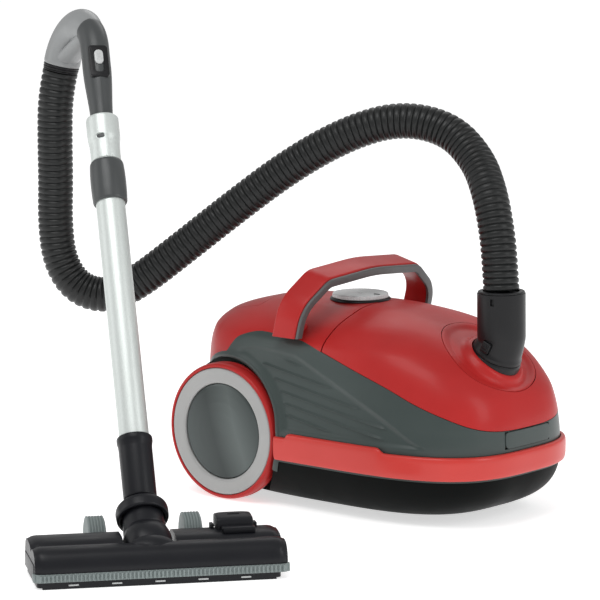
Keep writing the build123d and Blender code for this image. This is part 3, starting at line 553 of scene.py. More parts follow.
def well_cutter(hand, radius, start, length):
    """A round bar across a rear wheel's place."""
    origin = can(WHEEL_X, hand * start, WHEEL_HIGH)
    profile = [(0, 0.0005), (0, radius), (length, radius), (length, 0.0005)]
    return lathe(origin, Vector((0, hand, 0)), profile, 128)


def settle(obj, name, slot, body, nodes=(), smooth=38.0, bevel=0.0):
    """Names an object made by modifiers and gives it its look, body and CAD nodes."""
    bm = bmesh.new()
    bm.from_mesh(obj.data)
    bpy.data.objects.remove(obj)
    bmesh.ops.remove_doubles(bm, verts=bm.verts, dist=2e-6)
    return piece(name, bm, slot, body, nodes, smooth, bevel)


# ---- Red covers, lid and side shell ----------------------------------------------
INLET_AT, INLET_LEAN = can(0.204, 0, 0.172), radians(25)
INLET_UP = Vector((sin(INLET_LEAN), 0, cos(INLET_LEAN)))
INLET_FORE = Vector((cos(INLET_LEAN), 0, -sin(INLET_LEAN)))
OVAL_BACK, OVAL_FORE, OVAL_HALF = 0.074, 0.050, 0.066


def oval(point):
    """How far out of the lid's oval panel a point is: 1 on its outline."""
    rel = point - INLET_AT
    fore = rel.dot(INLET_FORE)
    return sqrt((fore / (OVAL_FORE if fore > 0 else OVAL_BACK)) ** 2 + (rel.y / OVAL_HALF) ** 2)


def dish(bm):
    """Raises a soft collar round the inlet and sinks a shallow valley about it."""
    bm.normal_update()
    moves = []
    for vert in bm.verts:
        rel = vert.co - INLET_AT
        if rel.dot(INLET_UP) < -0.02:
            continue
        radius = (rel - INLET_UP * rel.dot(INLET_UP)).length
        ring = oval(vert.co)
        collar = 0.0035 * (1 - smooth_step(0.034, 0.041, radius))
        valley = -0.0040 * smooth_step(0.036, 0.046, radius) * (1 - smooth_step(0.80, 1.0, ring))
        moves.append((vert, vert.normal * (collar + valley)))
    for vert, move in moves:
        vert.co += move


def upper_shell(edge, facing, thickness, gap=0.0, dished=False):
    """The part of the red form on one side of an upright crosswise plane."""
    bm = grid(upper_rows(gap), closed=True)
    keep_side(bm, can(edge, 0, 0), facing)
    if dished:
        starts = [(line, line.verts[0].co) for line in bm.edges]
        near = [line for line, start in starts if oval(start) < 1.25 and start.z > 0.12]
        bmesh.ops.subdivide_edges(bm, edges=near, cuts=1, use_grid_fill=True)
        bmesh.ops.recalc_face_normals(bm, faces=bm.faces)
        dish(bm)
    return shell(bm, thickness)


COVER_THICK, SEAM_HALF = 0.0026, 0.001
lid = upper_shell(LID_SEAM + SEAM_HALF, -FORWARD, COVER_THICK, 0.0007, dished=True)
inlet_bore = [(-0.05, 0.0005), (-0.05, 0.0327), (0.08, 0.0327), (0.08, 0.0005)]
combine(lid, lathe(INLET_AT, INLET_UP, inlet_bore, 96))


def oval_groove(half_width=0.00045):
    """A thin upright wall that follows the outline of the lid's oval panel."""
    rows = []
    for step in range(128):
        turn = 2 * pi * step / 128
        outward = Vector((cos(turn), sin(turn)))
        fore = (OVAL_FORE if outward.x > 0 else OVAL_BACK) * outward.x
        half = OVAL_HALF * outward.y
        row = []
        for side, high in ((-1, -0.03), (1, -0.03), (1, 0.06), (-1, 0.06)):
            shift = outward * side * half_width
            spot = INLET_AT + INLET_FORE * (fore + shift.x) + LEFT * (half + shift.y)
            row.append(spot + INLET_UP * high)
        rows.append(row)
    return grid(rows, closed=True, wrapped=True)


combine(lid, oval_groove())
settle(lid, "lid_shell", "body_red", "lid", ("bag_lid",))

cover = upper_shell(LID_SEAM - SEAM_HALF, FORWARD, COVER_THICK)
PEDALS = {"on_off": (1, "on_off_pedal"), "rewind": (-1, "rewind_pedal")}
PEDAL_X, PEDAL_Y = (-0.150, -0.108), (0.012, 0.062)


def pedal_cutter(hand, gap, corner):
    """The box that a foot pedal fills, or its opening when there is a gap round it."""
    y = sorted((hand * (PEDAL_Y[0] - gap), hand * (PEDAL_Y[1] + gap)))
    return box_cutter((PEDAL_X[0] - gap, PEDAL_X[1] + gap), y, (0.2, 0.3), corner)


for hand, node in PEDALS.values():
    combine(cover, pedal_cutter(hand, 0.0006, 0.006))
for hand in (-1, 1):
    combine(cover, well_cutter(hand, WELL_R, WELL_FACE - 0.003, 0.08))
combine(cover, box_cutter((-0.24, -0.15), (-0.046, 0.046), (0.112, 0.168)))
settle(cover, "cover_shell", "body_red", "chassis", ("rear_cover",))

for body, (hand, node) in PEDALS.items():
    foot_key = upper_shell(-0.1, FORWARD, 0.0045)
    combine(foot_key, pedal_cutter(hand, 0.0, 0.0055), "INTERSECT")
    settle(foot_key, f"{body}_key", "body_red", body, (node,), bevel=0.0006)

# The grey side shell, with a sunk and ribbed panel on each side
PANEL_LOW, PANEL_DEEP = 0.1015, 0.0026
RIBS, RIB_PITCH, RIB_SLOPE = 8, 0.0128, -0.16


def panel_depth(spot):
    """How far a point of the side shell stands in or out of its plain form."""
    x, z = spot.x, spot.z
    if abs(spot.y) < 0.10:
        return 0.0
    inside = smooth_step(PANEL_LOW - 0.003, PANEL_LOW + 0.003, z)
    inside *= 1 - smooth_step(panel_top(x) - 0.004, panel_top(x) + 0.003, z)
    well = sqrt((x - WHEEL_X) ** 2 + (z - WHEEL_HIGH) ** 2)
    inside *= smooth_step(WELL_R + 0.009, WELL_R + 0.014, well)
    lip = 1 - smooth_step(WELL_R + 0.004, WELL_R + 0.010, well)
    return 0.0016 * lip - PANEL_DEEP * inside


def panel_top(x):
    """The upper edge of the sunk panel, which closes on its lower edge towards the front."""
    return curve_through(BELT, x) - 0.019 - 0.13 * max(0.0, x)


SIDE_LOW = 0.0602


def side_rows(steps=104):
    """Rows of the grey shell from its lower edge to the seam."""
    rows = []
    for n in range(steps + 1):
        row = []
        for angle, seam in zip(SIDE_ANGLES, SIDE_SEAM):
            z = SIDE_LOW + (seam - SIDE_LOW) * n / steps
            spot = skin(angle, z)
            row.append(can(*skin(angle, z, panel_depth(spot))))
        rows.append(row)
    return rows


SIDE_ANGLES = [2 * pi * k / 480 for k in range(480)]
SIDE_SEAM = [belt_height(angle) for angle in SIDE_ANGLES]
side_surface = grid(side_rows(), closed=True)
keep_side(side_surface, can(-0.152, 0, 0), -FORWARD)
sides = shell(side_surface, COVER_THICK)
for hand in (-1, 1):
    combine(sides, well_cutter(hand, WELL_R, WELL_FACE - 0.003, 0.08))
LATCH_Y, LATCH_LOW, LATCH_HIGH, LATCH_GAP = 0.044, 0.0965, 0.1165, 0.0007
latch_y = (-LATCH_Y - LATCH_GAP, LATCH_Y + LATCH_GAP)
combine(sides, box_cutter((0.22, 0.30), latch_y, (LATCH_LOW - LATCH_GAP, LATCH_HIGH + LATCH_GAP)))
settle(sides, "side_panels", "shell_grey", "chassis", ("side_shell",))


LOUVRE_START, LOUVRE_LENGTH = -0.075, 0.270
BLADE = [(0.0030, 0.0), (0.0012, 0.45), (0.0, 1.0), (-0.0005, 0.9), (-0.0007, 0.0), (0.0, -0.6)]


def louvre(hand, step):
    """One thin slanted rib in the sunk panel: a sharp lower edge under a sloping top."""
    rows = []
    for k in range(81):
        x = LOUVRE_START + LOUVRE_LENGTH * k / 80
        z = 0.198 - RIB_PITCH * step + RIB_SLOPE * (x + 0.02)
        well = sqrt((x - WHEEL_X) ** 2 + (z - WHEEL_HIGH) ** 2)
        room = min(well - WELL_R - 0.014, panel_top(x) - 0.007 - z, z - PANEL_LOW - 0.004)
        if room < 0:
            if rows:
                break
            continue
        out = 0.0021 * smooth_step(0.0, 0.004, room) * (1 - smooth_step(70, 80, k))
        row = []
        for up, share in BLADE:
            half = side_face(x, z + up)
            lean = (side_face(x + 0.002, z + up) - side_face(x - 0.002, z + up)) / 0.004
            away = (out * share - PANEL_DEEP - 0.0001) / sqrt(1 + lean * lean)
            row.append(can(x - lean * away, hand * (half + away), z + up))
        rows.append(row)
    return rows


def wheel_arch(hand):
    """The lining of a rear wheel's well, with its rounded outer lip."""
    rows = []
    for k in range(145):
        turn = radians(-24 + 228 * k / 144)
        fore, up = cos(turn), sin(turn)

        def rim(radius, out):
            return can(WHEEL_X + radius * fore, hand * out, WHEEL_HIGH + radius * up)

        edge, far = (
            side_face(WHEEL_X + (WELL_R + out) * fore, WHEEL_HIGH + (WELL_R + out) * up)
            for out in (0.002, 0.007)
        )
        rows.append([
            rim(0.014, WELL_FACE), rim(WELL_R - 0.004, WELL_FACE),
            rim(WELL_R - 0.0006, WELL_FACE + 0.003), rim(WELL_R - 0.0006, edge),
            rim(WELL_R, edge + 0.0016), rim(WELL_R + 0.002, edge + 0.0026),
            rim(WELL_R + 0.0045, far + 0.0022), rim(WELL_R + 0.007, far + 0.0002),
            rim(WELL_R + 0.0065, far - 0.002),
        ])
    return grid(rows)


def side_face(x, z):
    """Half the canister's width at a place on its side."""
    rear, front, half, mid = (curve_through(rows, sqrt(max(0.0, CROWN - z))) for rows in DEPTHS)
    reach, power = (front - mid, FRONT_POWER) if x > mid else (mid - rear, REAR_POWER)
    share = min(0.999, abs(x - mid) / reach)
    return half * (1 - share**power) ** (1 / power)


for hand, word in HANDS:
    piece(f"wheel_arch_{word}", wheel_arch(hand), "shell_grey", "chassis", smooth=60)
    for step in range(RIBS):
        rows = louvre(hand, step)
        if len(rows) > 3:
            blade = grid(rows, closed=True, capped=True)
            piece(f"louvre_{word}_{step + 1}", blade, "shell_grey", "chassis", smooth=25)

# The latch, a little proud of the front
latch_rows = []
for step in range(21):
    z = 0.09 + 0.0015 * step
    latch_rows.append([can(*skin(angle, z, 0.0010)) for angle in SIDE_ANGLES])
latch = shell(grid(latch_rows, closed=True), 0.006)
latch_middle = can(0.25, 0, (LATCH_LOW + LATCH_HIGH) / 2)
latch_size = (2 * LATCH_Y, LATCH_HIGH - LATCH_LOW, 0.006)
combine(latch, block(latch_middle, LEFT, UP, FORWARD, latch_size, -0.03, 0.05), "INTERSECT")
settle(latch, "latch_flap", "shell_grey", "latch", ("lid_latch",), bevel=0.0008)

# ---- The bumper band ------------------------------------------------------------
BAND_LOW, BAND_PROUD, BAND_END = 0.0622, 0.0068, -0.0155
BAND_PROFILE = rounded([(0.0002, 0.0), (1.0, 0.06), (1.0, 0.94), (0.0002, 1.0)], 0.30, 5)


def band_top(x):
    """The band's upper edge: taller along each side, with a short slope at each step."""
    tall = smooth_step(0.0040, 0.0090, x) * (1 - smooth_step(0.1430, 0.1540, x))
    return 0.0925 + 0.0060 * tall


def band_rows():
    """The band's sections, from behind one side, round the front, to the other."""
    rows = []
    limit = acos(-0.62)
    for k in range(481):
        angle = -limit + 2 * limit * k / 480
        base = skin(angle, 0.078)
        if base.x < BAND_END:
            continue
        top = band_top(base.x)
        ends = smooth_step(BAND_END, -0.012, base.x)
        row = []
        for out, up in BAND_PROFILE:
            z = BAND_LOW + (top - BAND_LOW) * up
            row.append(can(*skin(angle, z, 0.0004 + (BAND_PROUD * out - 0.0004) * (0.55 + 0.45 * ends))))
        rows.append(row)
    return rows


band = grid(band_rows(), closed=True, capped=True)
piece("bumper", band, "bumper_red", "chassis", ("bumper_band",), smooth=32)

# ---- The carry handle --------------------------------------------------------------
ARCH_AT, ARCH_LEAN, ARCH_FOOT = place("carry_handle_fold"), radians(14), 0.214
ARCH_UP = Vector((sin(ARCH_LEAN), 0, cos(ARCH_LEAN)))
ARCH_FORE = Vector((cos(ARCH_LEAN), 0, -sin(ARCH_LEAN)))
ARCH_HALF = [(0.133, -0.022), (0.133, 0.035), (0.089, 0.0695), (0.0, 0.076)]
ARCH_BENDS = [0.045, 0.030, 0.300, 0.030, 0.045]


def arch_line(steps=14):
    """Points along the arch's outer side, each with its direction."""
    corners = [Vector(p) for p in ARCH_HALF + [(-x, y) for x, y in reversed(ARCH_HALF[:-1])]]
    line = [(corners[0], (corners[1] - corners[0]).normalized())]
    for k, radius in enumerate(ARCH_BENDS, 1):
        one = (corners[k] - corners[k - 1]).normalized()
        two = (corners[k + 1] - corners[k]).normalized()
        turn = one.angle_signed(two)
        inward = Vector((-one.y, one.x)) * (-1 if turn > 0 else 1)
        start = corners[k] - one * radius * tan(abs(turn) / 2)
        centre = start + inward * radius
        for n in range(steps + 1):
            spin = Matrix.Rotation(-turn * n / steps, 2)
            line.append((centre + spin @ (start - centre), spin @ one))
    line.append((corners[-1], (corners[-1] - corners[-2]).normalized()))
    return line


def arch_piece(name, slot, outer, inner, rear, fore, first=0.0, last=1.0, nodes=(), corner=0.0016):
    """A layer of the handle between two depths and two distances fore and aft."""
    line = arch_line()
    line = line[int(first * len(line)):max(2, ceil(last * len(line)))]
    section = rounded([(outer, rear), (outer, fore), (inner, fore), (inner, rear)], corner, 3)
    rows = []
    for point, along in line:
        inward = Vector((-along.y, along.x))
        if inward.dot(Vector((0, 0.03)) - point) < 0:
            inward = -inward
        row = []
        for depth, shift in section:
            spot = point + inward * depth
            row.append(ARCH_AT + LEFT * spot.x + ARCH_UP * spot.y + ARCH_FORE * shift)
        rows.append(row)
    bm = keep_side(grid(rows, closed=True, capped=True), can(0, 0, ARCH_FOOT), -UP)
    bmesh.ops.holes_fill(bm, edges=bm.edges[:])
    piece(name, bm, slot, "carry_handle", nodes, smooth=45)


arch_piece("handle_outer", "body_red", 0.0, 0.0072, -0.019, 0.0160, nodes=("handle_band",), corner=0.003)
arch_piece("handle_edge", "handle_grey", 0.0014, 0.0115, 0.0163, 0.0203, nodes=("handle_grip",))
arch_piece("handle_lining", "body_red", 0.0074, 0.0112, -0.0175, 0.0161, corner=0.0012)
arch_piece("handle_pad", "handle_grey", 0.0100, 0.0124, -0.0155, 0.0161, 0.36, 0.64, corner=0.0009)
for hand, word in HANDS:
    out = LEFT * hand
    boss = [(-0.036, 0.0005), (-0.036, 0.0078), (-0.0125, 0.0078), (-0.0125, 0.0005)]
    boss_at = ARCH_AT + out * ARCH_HALF[0][0]
    turned(f"handle_boss_{word}", boss_at, out, boss, "body_red", "chassis", steps=48)

# ---- Power dial ---------------------------------------------------------------------
DIAL_AT = can(0.005, 0, 0.2475)
bezel = [(0.0, 0.030), (0.0, 0.0383), (0.0016, 0.0380), (0.0028, 0.0368), (0.0028, 0.030)]
turned("dial_ring", DIAL_AT, UP, bezel, "trim_black", "chassis", ("dial_bezel",), 0.0006)


def dial_knob():
    """The dial: a grip of fine notches round a dished face."""
    corners = [(0.0032, 0.0005), (0.0032, 0.0355), (0.0082, 0.0347), (0.0086, 0.030), (0.0078, 0.0005)]
    profile = rounded(corners, 0.0009)
    rows = []
    for k in range(240):
        angle = 2 * pi * k / 240
        out = Vector((cos(angle), sin(angle), 0))
        notch = 0.0005 * (0.5 + 0.5 * cos(60 * angle))
        row = []
        for high, radius in profile:
            cut = notch if radius > 0.0340 else 0
            row.append(DIAL_AT + UP * high + out * (radius - cut))
        rows.append(row)
    return grid(rows, closed=True, wrapped=True)


piece("dial_knob", dial_knob(), "dial_silver", "dial", ("power_dial",), smooth=30)
pointer = block(DIAL_AT + FORWARD * 0.0265, FORWARD, LEFT, UP, (0.009, 0.0022, 0.0008), 0.0078, 0.0092)
piece("dial_mark", pointer, "trim_black", "dial", bevel=0.0003)

# ---- Rear wheels ---------------------------------------------------------------------
for hand, word in HANDS:
    hub, out = can(WHEEL_X, hand * 0.112, WHEEL_HIGH), LEFT * hand
    body = f"wheel_{word}"
    rim = [
        (0.000, 0.012), (0.000, 0.079), (0.0025, 0.0835), (0.0060, 0.0853), (0.0115, 0.0860),
        (0.0125, 0.0852), (0.0155, 0.0852), (0.0165, 0.0860), (0.0225, 0.0858), (0.0265, 0.0846),
        (0.0280, 0.0822),
        (0.0274, 0.0803), (0.0080, 0.0803), (0.0080, 0.012),
    ]
    turned(f"rim_{word}", hub, out, rim, "body_red", body, (f"wheel_rim_{word}",), 0.0012, 128)
    ring = [
        (0.0080, 0.0603), (0.0080, 0.0799), (0.0262, 0.0799), (0.0274, 0.0789), (0.0276, 0.0770),
        (0.0270, 0.0640), (0.0262, 0.0612), (0.0250, 0.0603),
    ]
    turned(f"ring_{word}", hub, out, ring, "wheel_silver", body, (f"wheel_ring_{word}",), 0.0010, 128)
    cap = [
        (0.0080, 0.0005), (0.0080, 0.0599), (0.0236, 0.0599), (0.0247, 0.0590), (0.0253, 0.0560),
        (0.0264, 0.0480), (0.0277, 0.0370), (0.0287, 0.0250), (0.0293, 0.0130), (0.0295, 0.00002),
    ]
    turned(f"hub_{word}", hub, out, cap, "wheel_hub", body, (f"wheel_cap_{word}",), 0.0008, 128)

# ---- Inlet, elbow and the hose's cuff -----------------------------------------------
inlet_profile = [
    (0.004, 0.0284), (0.004, 0.0325), (0.0210, 0.0325), (0.0290, 0.0325),
    (0.0318, 0.0312), (0.0318, 0.0284),
]
turned("inlet_ring", INLET_AT, INLET_UP, inlet_profile, "trim_black", "lid", ("inlet_collar",), 0.0008)
ELBOW_R, ELBOW_BORE, ELBOW_FOOT = 0.0295, 0.017, 0.0345
SKIRT = [(0.0321, 0.0306), (0.0327, 0.0314), (0.0350, 0.0314), (0.0372, 0.0308), (0.0390, 0.0297)]
MOUTH = [(0.0004, 0.0290), (0.0, 0.0284), (0.0, 0.0261), (-0.018, 0.0261), (-0.018, ELBOW_BORE)]
RIM_AT, RIM_UP = can(0.224, 0, 0.277), heading("hose_cuff_turn")


def elbow_line(steps=16):
    """The elbow's middle line from its foot to its rim, each point with its direction."""
    foot, corner, top = INLET_AT + INLET_UP * ELBOW_FOOT, can(0.225, 0, 0.217), RIM_AT
    one, two = (corner - foot).normalized(), (top - corner).normalized()
    turn = one.angle(two)
    radius = 0.028
    start, axis = corner - one * radius * tan(turn / 2), one.cross(two).normalized()
    centre = start + axis.cross(one) * radius
    line = [(foot, one)]
    for n in range(steps + 1):
        spin = Matrix.Rotation(turn * n / steps, 3, axis)
        line.append((centre + spin @ (start - centre), spin @ one))
    end = line[-1][0]
    line += [(end + (top - end) * share, two) for share in (0.25, 0.5, 0.75, 0.93, 0.97, 1.0)]
    return line


def tube(line, radii, side, steps=72):
    """A surface round a line of (point, direction), with a radius at each point."""
    rows = []
    for (point, along), radius in zip(line, radii):
        up = along.cross(side).normalized()
        across = up.cross(along).normalized()
        angles = (2 * pi * k / steps for k in range(steps))
        rows.append([point + (across * cos(a) + up * sin(a)) * radius for a in angles])
    return rows


def elbow():
    """The bent elbow: a flared foot, a waist, a rim with a step, and an open bore."""
    line = elbow_line()
    count = len(line)
    radii = []
    for k in range(count):
        share = k / (count - 1)
        radii.append(ELBOW_R - 0.0009 * sin(pi * min(1, share * 1.35)) if share < 0.74 else ELBOW_R)
    foot, along = line[0]
    skirt = [(foot + along * (high - ELBOW_FOOT), along) for high, radius in SKIRT]
    rows = tube(skirt, [radius for high, radius in SKIRT], LEFT) + tube(line[1:], radii[1:], LEFT)
    top, along = line[-1]
    mouth = [(top + along * reach, along) for reach, radius in MOUTH]
    rows += tube(mouth, [radius for reach, radius in MOUTH], LEFT)
    inside = INLET_AT + INLET_UP * 0.006
    bore = list(reversed(line[1:-3])) + [(inside, INLET_UP)]
    rows += tube(bore, [ELBOW_BORE] * len(bore), LEFT)
    rows += tube([(inside, INLET_UP), (foot - INLET_UP * 0.0021, INLET_UP)], [0.0278] * 2, LEFT)
    return grid(rows, closed=True, wrapped=True)


elbow_piece = piece("elbow", elbow(), "trim_black", "lid", ("hose_elbow",), smooth=42)
CLIP_AT = INLET_AT + INLET_UP * 0.046
WINDOW_AT = RIM_AT - RIM_UP * 0.0080
WINDOW_OUT = Vector((0.25, -0.968, 0)).normalized()
WINDOW_SIDE = RIM_UP.cross(WINDOW_OUT).normalized()


def clip_block(up, size, low, high):
    """A block that faces outwards at the release clip."""
    return block(CLIP_AT + INLET_UP * up, INLET_FORE, INLET_UP, -LEFT, size, low, high)


combine(elbow_piece, clip_block(0.0, (0.0135, 0.0155, 0.0022), 0.0255, 0.04))
window = block(WINDOW_AT, WINDOW_SIDE, RIM_UP, WINDOW_OUT, (0.0050, 0.0085, 0.0008), 0.0262, 0.04)
combine(elbow_piece, window)
sharpen(elbow_piece, 42)
clip = clip_block(0.0, (0.012, 0.014, 0.0022), 0.0272, 0.0316)
piece("clip_button", clip, "trim_black", "elbow_clip", ("elbow_clip",), bevel=0.0007)
for step in range(3):
    ridge = clip_block(0.0035 * step - 0.0035, (0.008, 0.0012, 0.0005), 0.0310, 0.0323)
    piece(f"clip_ridge_{step + 1}", ridge, "trim_black", "elbow_clip", bevel=0.0003)
cuff = [
    (-0.0174, 0.0176), (-0.0174, 0.0258), (0.0002, 0.0258), (0.0004, 0.0284), (0.0022, 0.0286),
    (0.0032, 0.0272), (0.0032, 0.0224), (0.0002, 0.0224), (0.0002, 0.0176),
]
turned("cuff_ring", RIM_AT, RIM_UP, cuff, "trim_black", "hose_cuff_elbow", ("hose_cuff_elbow",), 0.0006)

# ---- The hose, in two lengths that meet in its arch ------------------------------------
HOSE_FRONT_ROUTE = [
    (0.250, 0.243, 0.280), (0.247, 0.244, 0.309), (0.239, 0.248, 0.350), (0.221, 0.257, 0.395),
    (0.186, 0.279, 0.431), (0.140, 0.281, 0.466), (0.082, 0.257, 0.477), (0.025, 0.225, 0.457),
    (-0.007, 0.2075, 0.436),
]
HOSE_REAR_ROUTE = [
    (-0.007, 0.2075, 0.436), (-0.039, 0.190, 0.415), (-0.105, 0.148, 0.355), (-0.157, 0.112, 0.304),
    (-0.200, 0.084, 0.264), (-0.233, 0.064, 0.245), (-0.266, 0.044, 0.254), (-0.286, 0.032, 0.289),
    (-0.289, 0.028, 0.340), (-0.285, 0.026, 0.392), (-0.280, 0.020, 0.449), (-0.2755, 0.017, 0.499),
    (-0.2696, 0.0203, 0.5298),
]
HOSE_R, RIB_DEPTH, HOSE_PITCH = 0.0220, 0.0019, 0.0078


def route_line(name, points):
    """Points along the smooth curve that a route's points control."""
    curve = bpy.data.curves.new(name, "CURVE")
    curve.dimensions = "3D"
    curve.resolution_u = 24
    spline = curve.splines.new("NURBS")
    spline.points.add(len(points) - 1)
    for point, spot in zip(spline.points, points):
        point.co = (*spot, 1)
    spline.order_u = 3
    spline.use_endpoint_u = True
    obj = bpy.data.objects.new(name, curve)
    bpy.context.scene.collection.objects.link(obj)
    graph = bpy.context.evaluated_depsgraph_get()
    mesh = bpy.data.meshes.new_from_object(obj.evaluated_get(graph), depsgraph=graph)
    line = [vert.co.copy() for vert in mesh.vertices]
    bpy.data.objects.remove(obj)
    return line


def resampled(line, spacing):
    """The same line in even steps, each point with its direction."""
    lengths = [0.0]
    for one, two in zip(line, line[1:]):
        lengths.append(lengths[-1] + (two - one).length)
    count = round(lengths[-1] / spacing)
    result, k = [], 0
    for n in range(count + 1):
        reach = lengths[-1] * n / count
        while k < len(line) - 2 and lengths[k + 1] < reach:
            k += 1
        share = (reach - lengths[k]) / (lengths[k + 1] - lengths[k])
        result.append(line[k].lerp(line[k + 1], share))
    directions = []
    for n in range(count + 1):
        low, high = max(0, n - 3), min(count, n + 3)
        directions.append((result[high] - result[low]).normalized())
    return list(zip(result, directions)), lengths[-1]


def hose(name, route, phase, nodes):
    """A corrugated hose along a route: round ribs with narrow grooves between them."""
    line = route_line(name, route)
    points, length = resampled(line, HOSE_PITCH / 8)
    side = points[0][1].orthogonal().normalized()
    rows, reach, before = [], 0.0, points[0][0]
    for point, along in points:
        reach += (point - before).length
        before = point
        side = (side - along * side.dot(along)).normalized()
        up = along.cross(side)
        wave = 0.5 + 0.5 * cos(2 * pi * (reach + phase) / HOSE_PITCH)
        radius = HOSE_R - RIB_DEPTH * wave**4
        angles = (2 * pi * k / 44 for k in range(44))
        rows.append([point + (side * cos(a) + up * sin(a)) * radius for a in angles])
    inner = [[point.lerp(middle_of(row), 0.18) for point in row] for row in (rows[0], rows[-1])]
    rows = [inner[0]] + rows + [inner[1]]
    obj = piece(name, grid(rows, closed=True), "hose_black", None, nodes, smooth=70, ride=False)
    return obj, line, length


def middle_of(row):
    """The middle of a ring of points."""
    return sum(row, Vector()) / len(row)


front_hose, front_line, front_length = hose("hose_front", HOSE_FRONT_ROUTE, 0.0, ("hose_canister_half",))
rear_hose, rear_line, _ = hose("hose_rear", HOSE_REAR_ROUTE, front_length, ("hose_wand_half",))
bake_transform(front_hose)
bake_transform(rear_hose)

# ---- The wand ---------------------------------------------------------------------------
lower = [(0.070, 0.0161), (0.070, 0.0175), (0.4815, 0.0175), (0.484, 0.0170), (0.484, 0.0161)]
turned("tube_lower", WAND_AT, WAND_UP, lower, "tube_satin", "chassis", ("lower_tube",), 0.0006)
upper = [(0.190, 0.0145), (0.190, 0.0160), (0.537, 0.0160), (0.537, 0.0145)]
turned("tube_upper", WAND_AT, WAND_UP, upper, "tube_satin", "handle", ("upper_tube",), 0.0004)
grip_profile = [
    (0.427, 0.0176), (0.427, 0.0196), (0.4290, 0.0206), (0.440, 0.0212), (0.455, 0.0214),
    (0.468, 0.0211), (0.4785, 0.0203), (0.481, 0.0192), (0.481, 0.0176),
]
turned("collar_grip", WAND_AT, WAND_UP, grip_profile, "stem_grey", "collar", ("telescope_collar",), 0.0012)
sleeve = [
    (0.4822, 0.01605), (0.4822, 0.0180), (0.500, 0.0182), (0.5065, 0.0186), (0.513, 0.0196),
    (0.519, 0.0198), (0.539, 0.0198), (0.541, 0.0190), (0.541, 0.01605),
]
sleeve_nodes = ("tube_sleeve",)
sleeve_piece = turned("sleeve_ring", WAND_AT, WAND_UP, sleeve, "tube_satin", "handle", sleeve_nodes, 0.0010)
STUD_AT, STUD_OUT = wand(0.5105), (-HOOK_BACK - HOOK_SIDE * 0.8).normalized()
STUD_SIDE = WAND_UP.cross(STUD_OUT)
stud_room = block(STUD_AT, STUD_SIDE, WAND_UP, STUD_OUT, (0.011, 0.0065, 0.0030), 0.0180, 0.03)
combine(sleeve_piece, stud_room)
sharpen(sleeve_piece, 40)
stud = block(STUD_AT, STUD_SIDE, WAND_UP, STUD_OUT, (0.0098, 0.0053, 0.0025), 0.0165, 0.0186)
piece("sleeve_stud", stud, "stem_grey", "handle", bevel=0.0005)
neck = [
    (0.044, 0.0140), (0.048, 0.0194), (0.110, 0.0196), (0.1145, 0.0202), (0.1175, 0.0209),
    (0.1220, 0.0208), (0.1235, 0.0200), (0.1235, 0.01755), (0.071, 0.01755), (0.071, 0.0140),
]
turned("neck", WAND_AT, WAND_UP, neck, "nozzle_black", "chassis", ("neck_socket",), 0.0014)


def hook_line(first, last, steps=40):
    """The hook's middle line between two reaches along it: negative is the straight part below."""
    line = []
    for n in range(steps + 1):
        reach = first + (last - first) * n / steps
        if reach < 0:
            line.append((wand(HOOK_START + reach), WAND_UP))
        elif reach <= HOOK_R * HOOK_SWEEP:
            line.append(hook(reach / HOOK_R))
        else:
            line.append(hook(HOOK_SWEEP, reach - HOOK_R * HOOK_SWEEP))
    return line


def facet(angle, strength):
    """A soft ridge along the front of the grip."""
    away = abs((angle + pi) % (2 * pi) - pi)
    return 1 + strength * max(0.0, 1 - away / radians(55))


def bent(name, slot, body, line, radii, nodes=(), strength=0.0, bore=None, smooth=42):
    """A bent tube with its own radius at each point, and a bore where it is open."""
    angles = [2 * pi * k / 72 for k in range(72)]
    rows = []
    for (point, along), radius in zip(line, radii):
        out = along.cross(HOOK_SIDE).normalized()
        rows.append([
            point + (out * cos(a) + HOOK_SIDE * sin(a)) * radius * facet(a - pi - PANEL_TURN, strength)
            for a in angles
        ])
    if not bore:
        return piece(name, grid(rows, closed=True, capped=True), slot, body, nodes, smooth)
    for point, along in (line[-1], line[0]):
        out = along.cross(HOOK_SIDE).normalized()
        rows.append([point + (out * cos(a) + HOOK_SIDE * sin(a)) * bore for a in angles])
    return piece(name, grid(rows, closed=True, wrapped=True), slot, body, nodes, smooth)


HOOK_END = HOOK_R * HOOK_SWEEP
PANEL_TURN = radians(16)
stem_line = hook_line(-0.103, 0.030, 56)
stem_radii = [0.0136 + 0.0038 * smooth_step(0.0, 0.55, k / 56) for k in range(57)]
stem_radii[-1] -= 0.0008
bent("stem", "stem_grey", "handle", stem_line, stem_radii, ("handle_stem",), strength=0.045)
BEND_START = 0.022
bend_line = hook_line(BEND_START, HOOK_END + 0.0076, 52)
bend_radii = []
for k in range(53):
    share = k / 52
    swell, flare = smooth_step(0.0, 0.34, share), smooth_step(0.5, 1.0, share)
    bend_radii.append(0.0164 + 0.0054 * swell + 0.0010 * flare)
bend_radii[0] -= 0.0006
bend_radii[-1] -= 0.0008
bent("bend_cover", "bend_grey", "handle", bend_line, bend_radii, ("handle_bend",), bore=0.0154)
TAIL_AT, TAIL_ALONG = hook(HOOK_SWEEP)
swivel = [
    (-0.0012, 0.0131), (-0.0012, 0.0150), (0.0080, 0.0150), (0.0081, 0.0214), (0.0086, 0.0224),
    (0.0102, 0.0224), (0.0106, 0.0212), (0.0112, 0.0212), (0.0116, 0.0222), (0.0132, 0.0222),
    (0.0136, 0.0210), (0.0142, 0.0210), (0.0146, 0.0219), (0.0156, 0.0216), (0.0156, 0.0131),
]
cuff_body = "hose_cuff_handle"
turned("swivel_cuff", TAIL_AT, TAIL_ALONG, swivel, "trim_black", cuff_body, (cuff_body,), 0.0005)
PANEL_OUT = (-HOOK_BACK * cos(PANEL_TURN) - HOOK_SIDE * sin(PANEL_TURN)).normalized()
PANEL_SIDE = WAND_UP.cross(PANEL_OUT)
PANEL_AT = wand(0.612) + PANEL_OUT * 0.0152


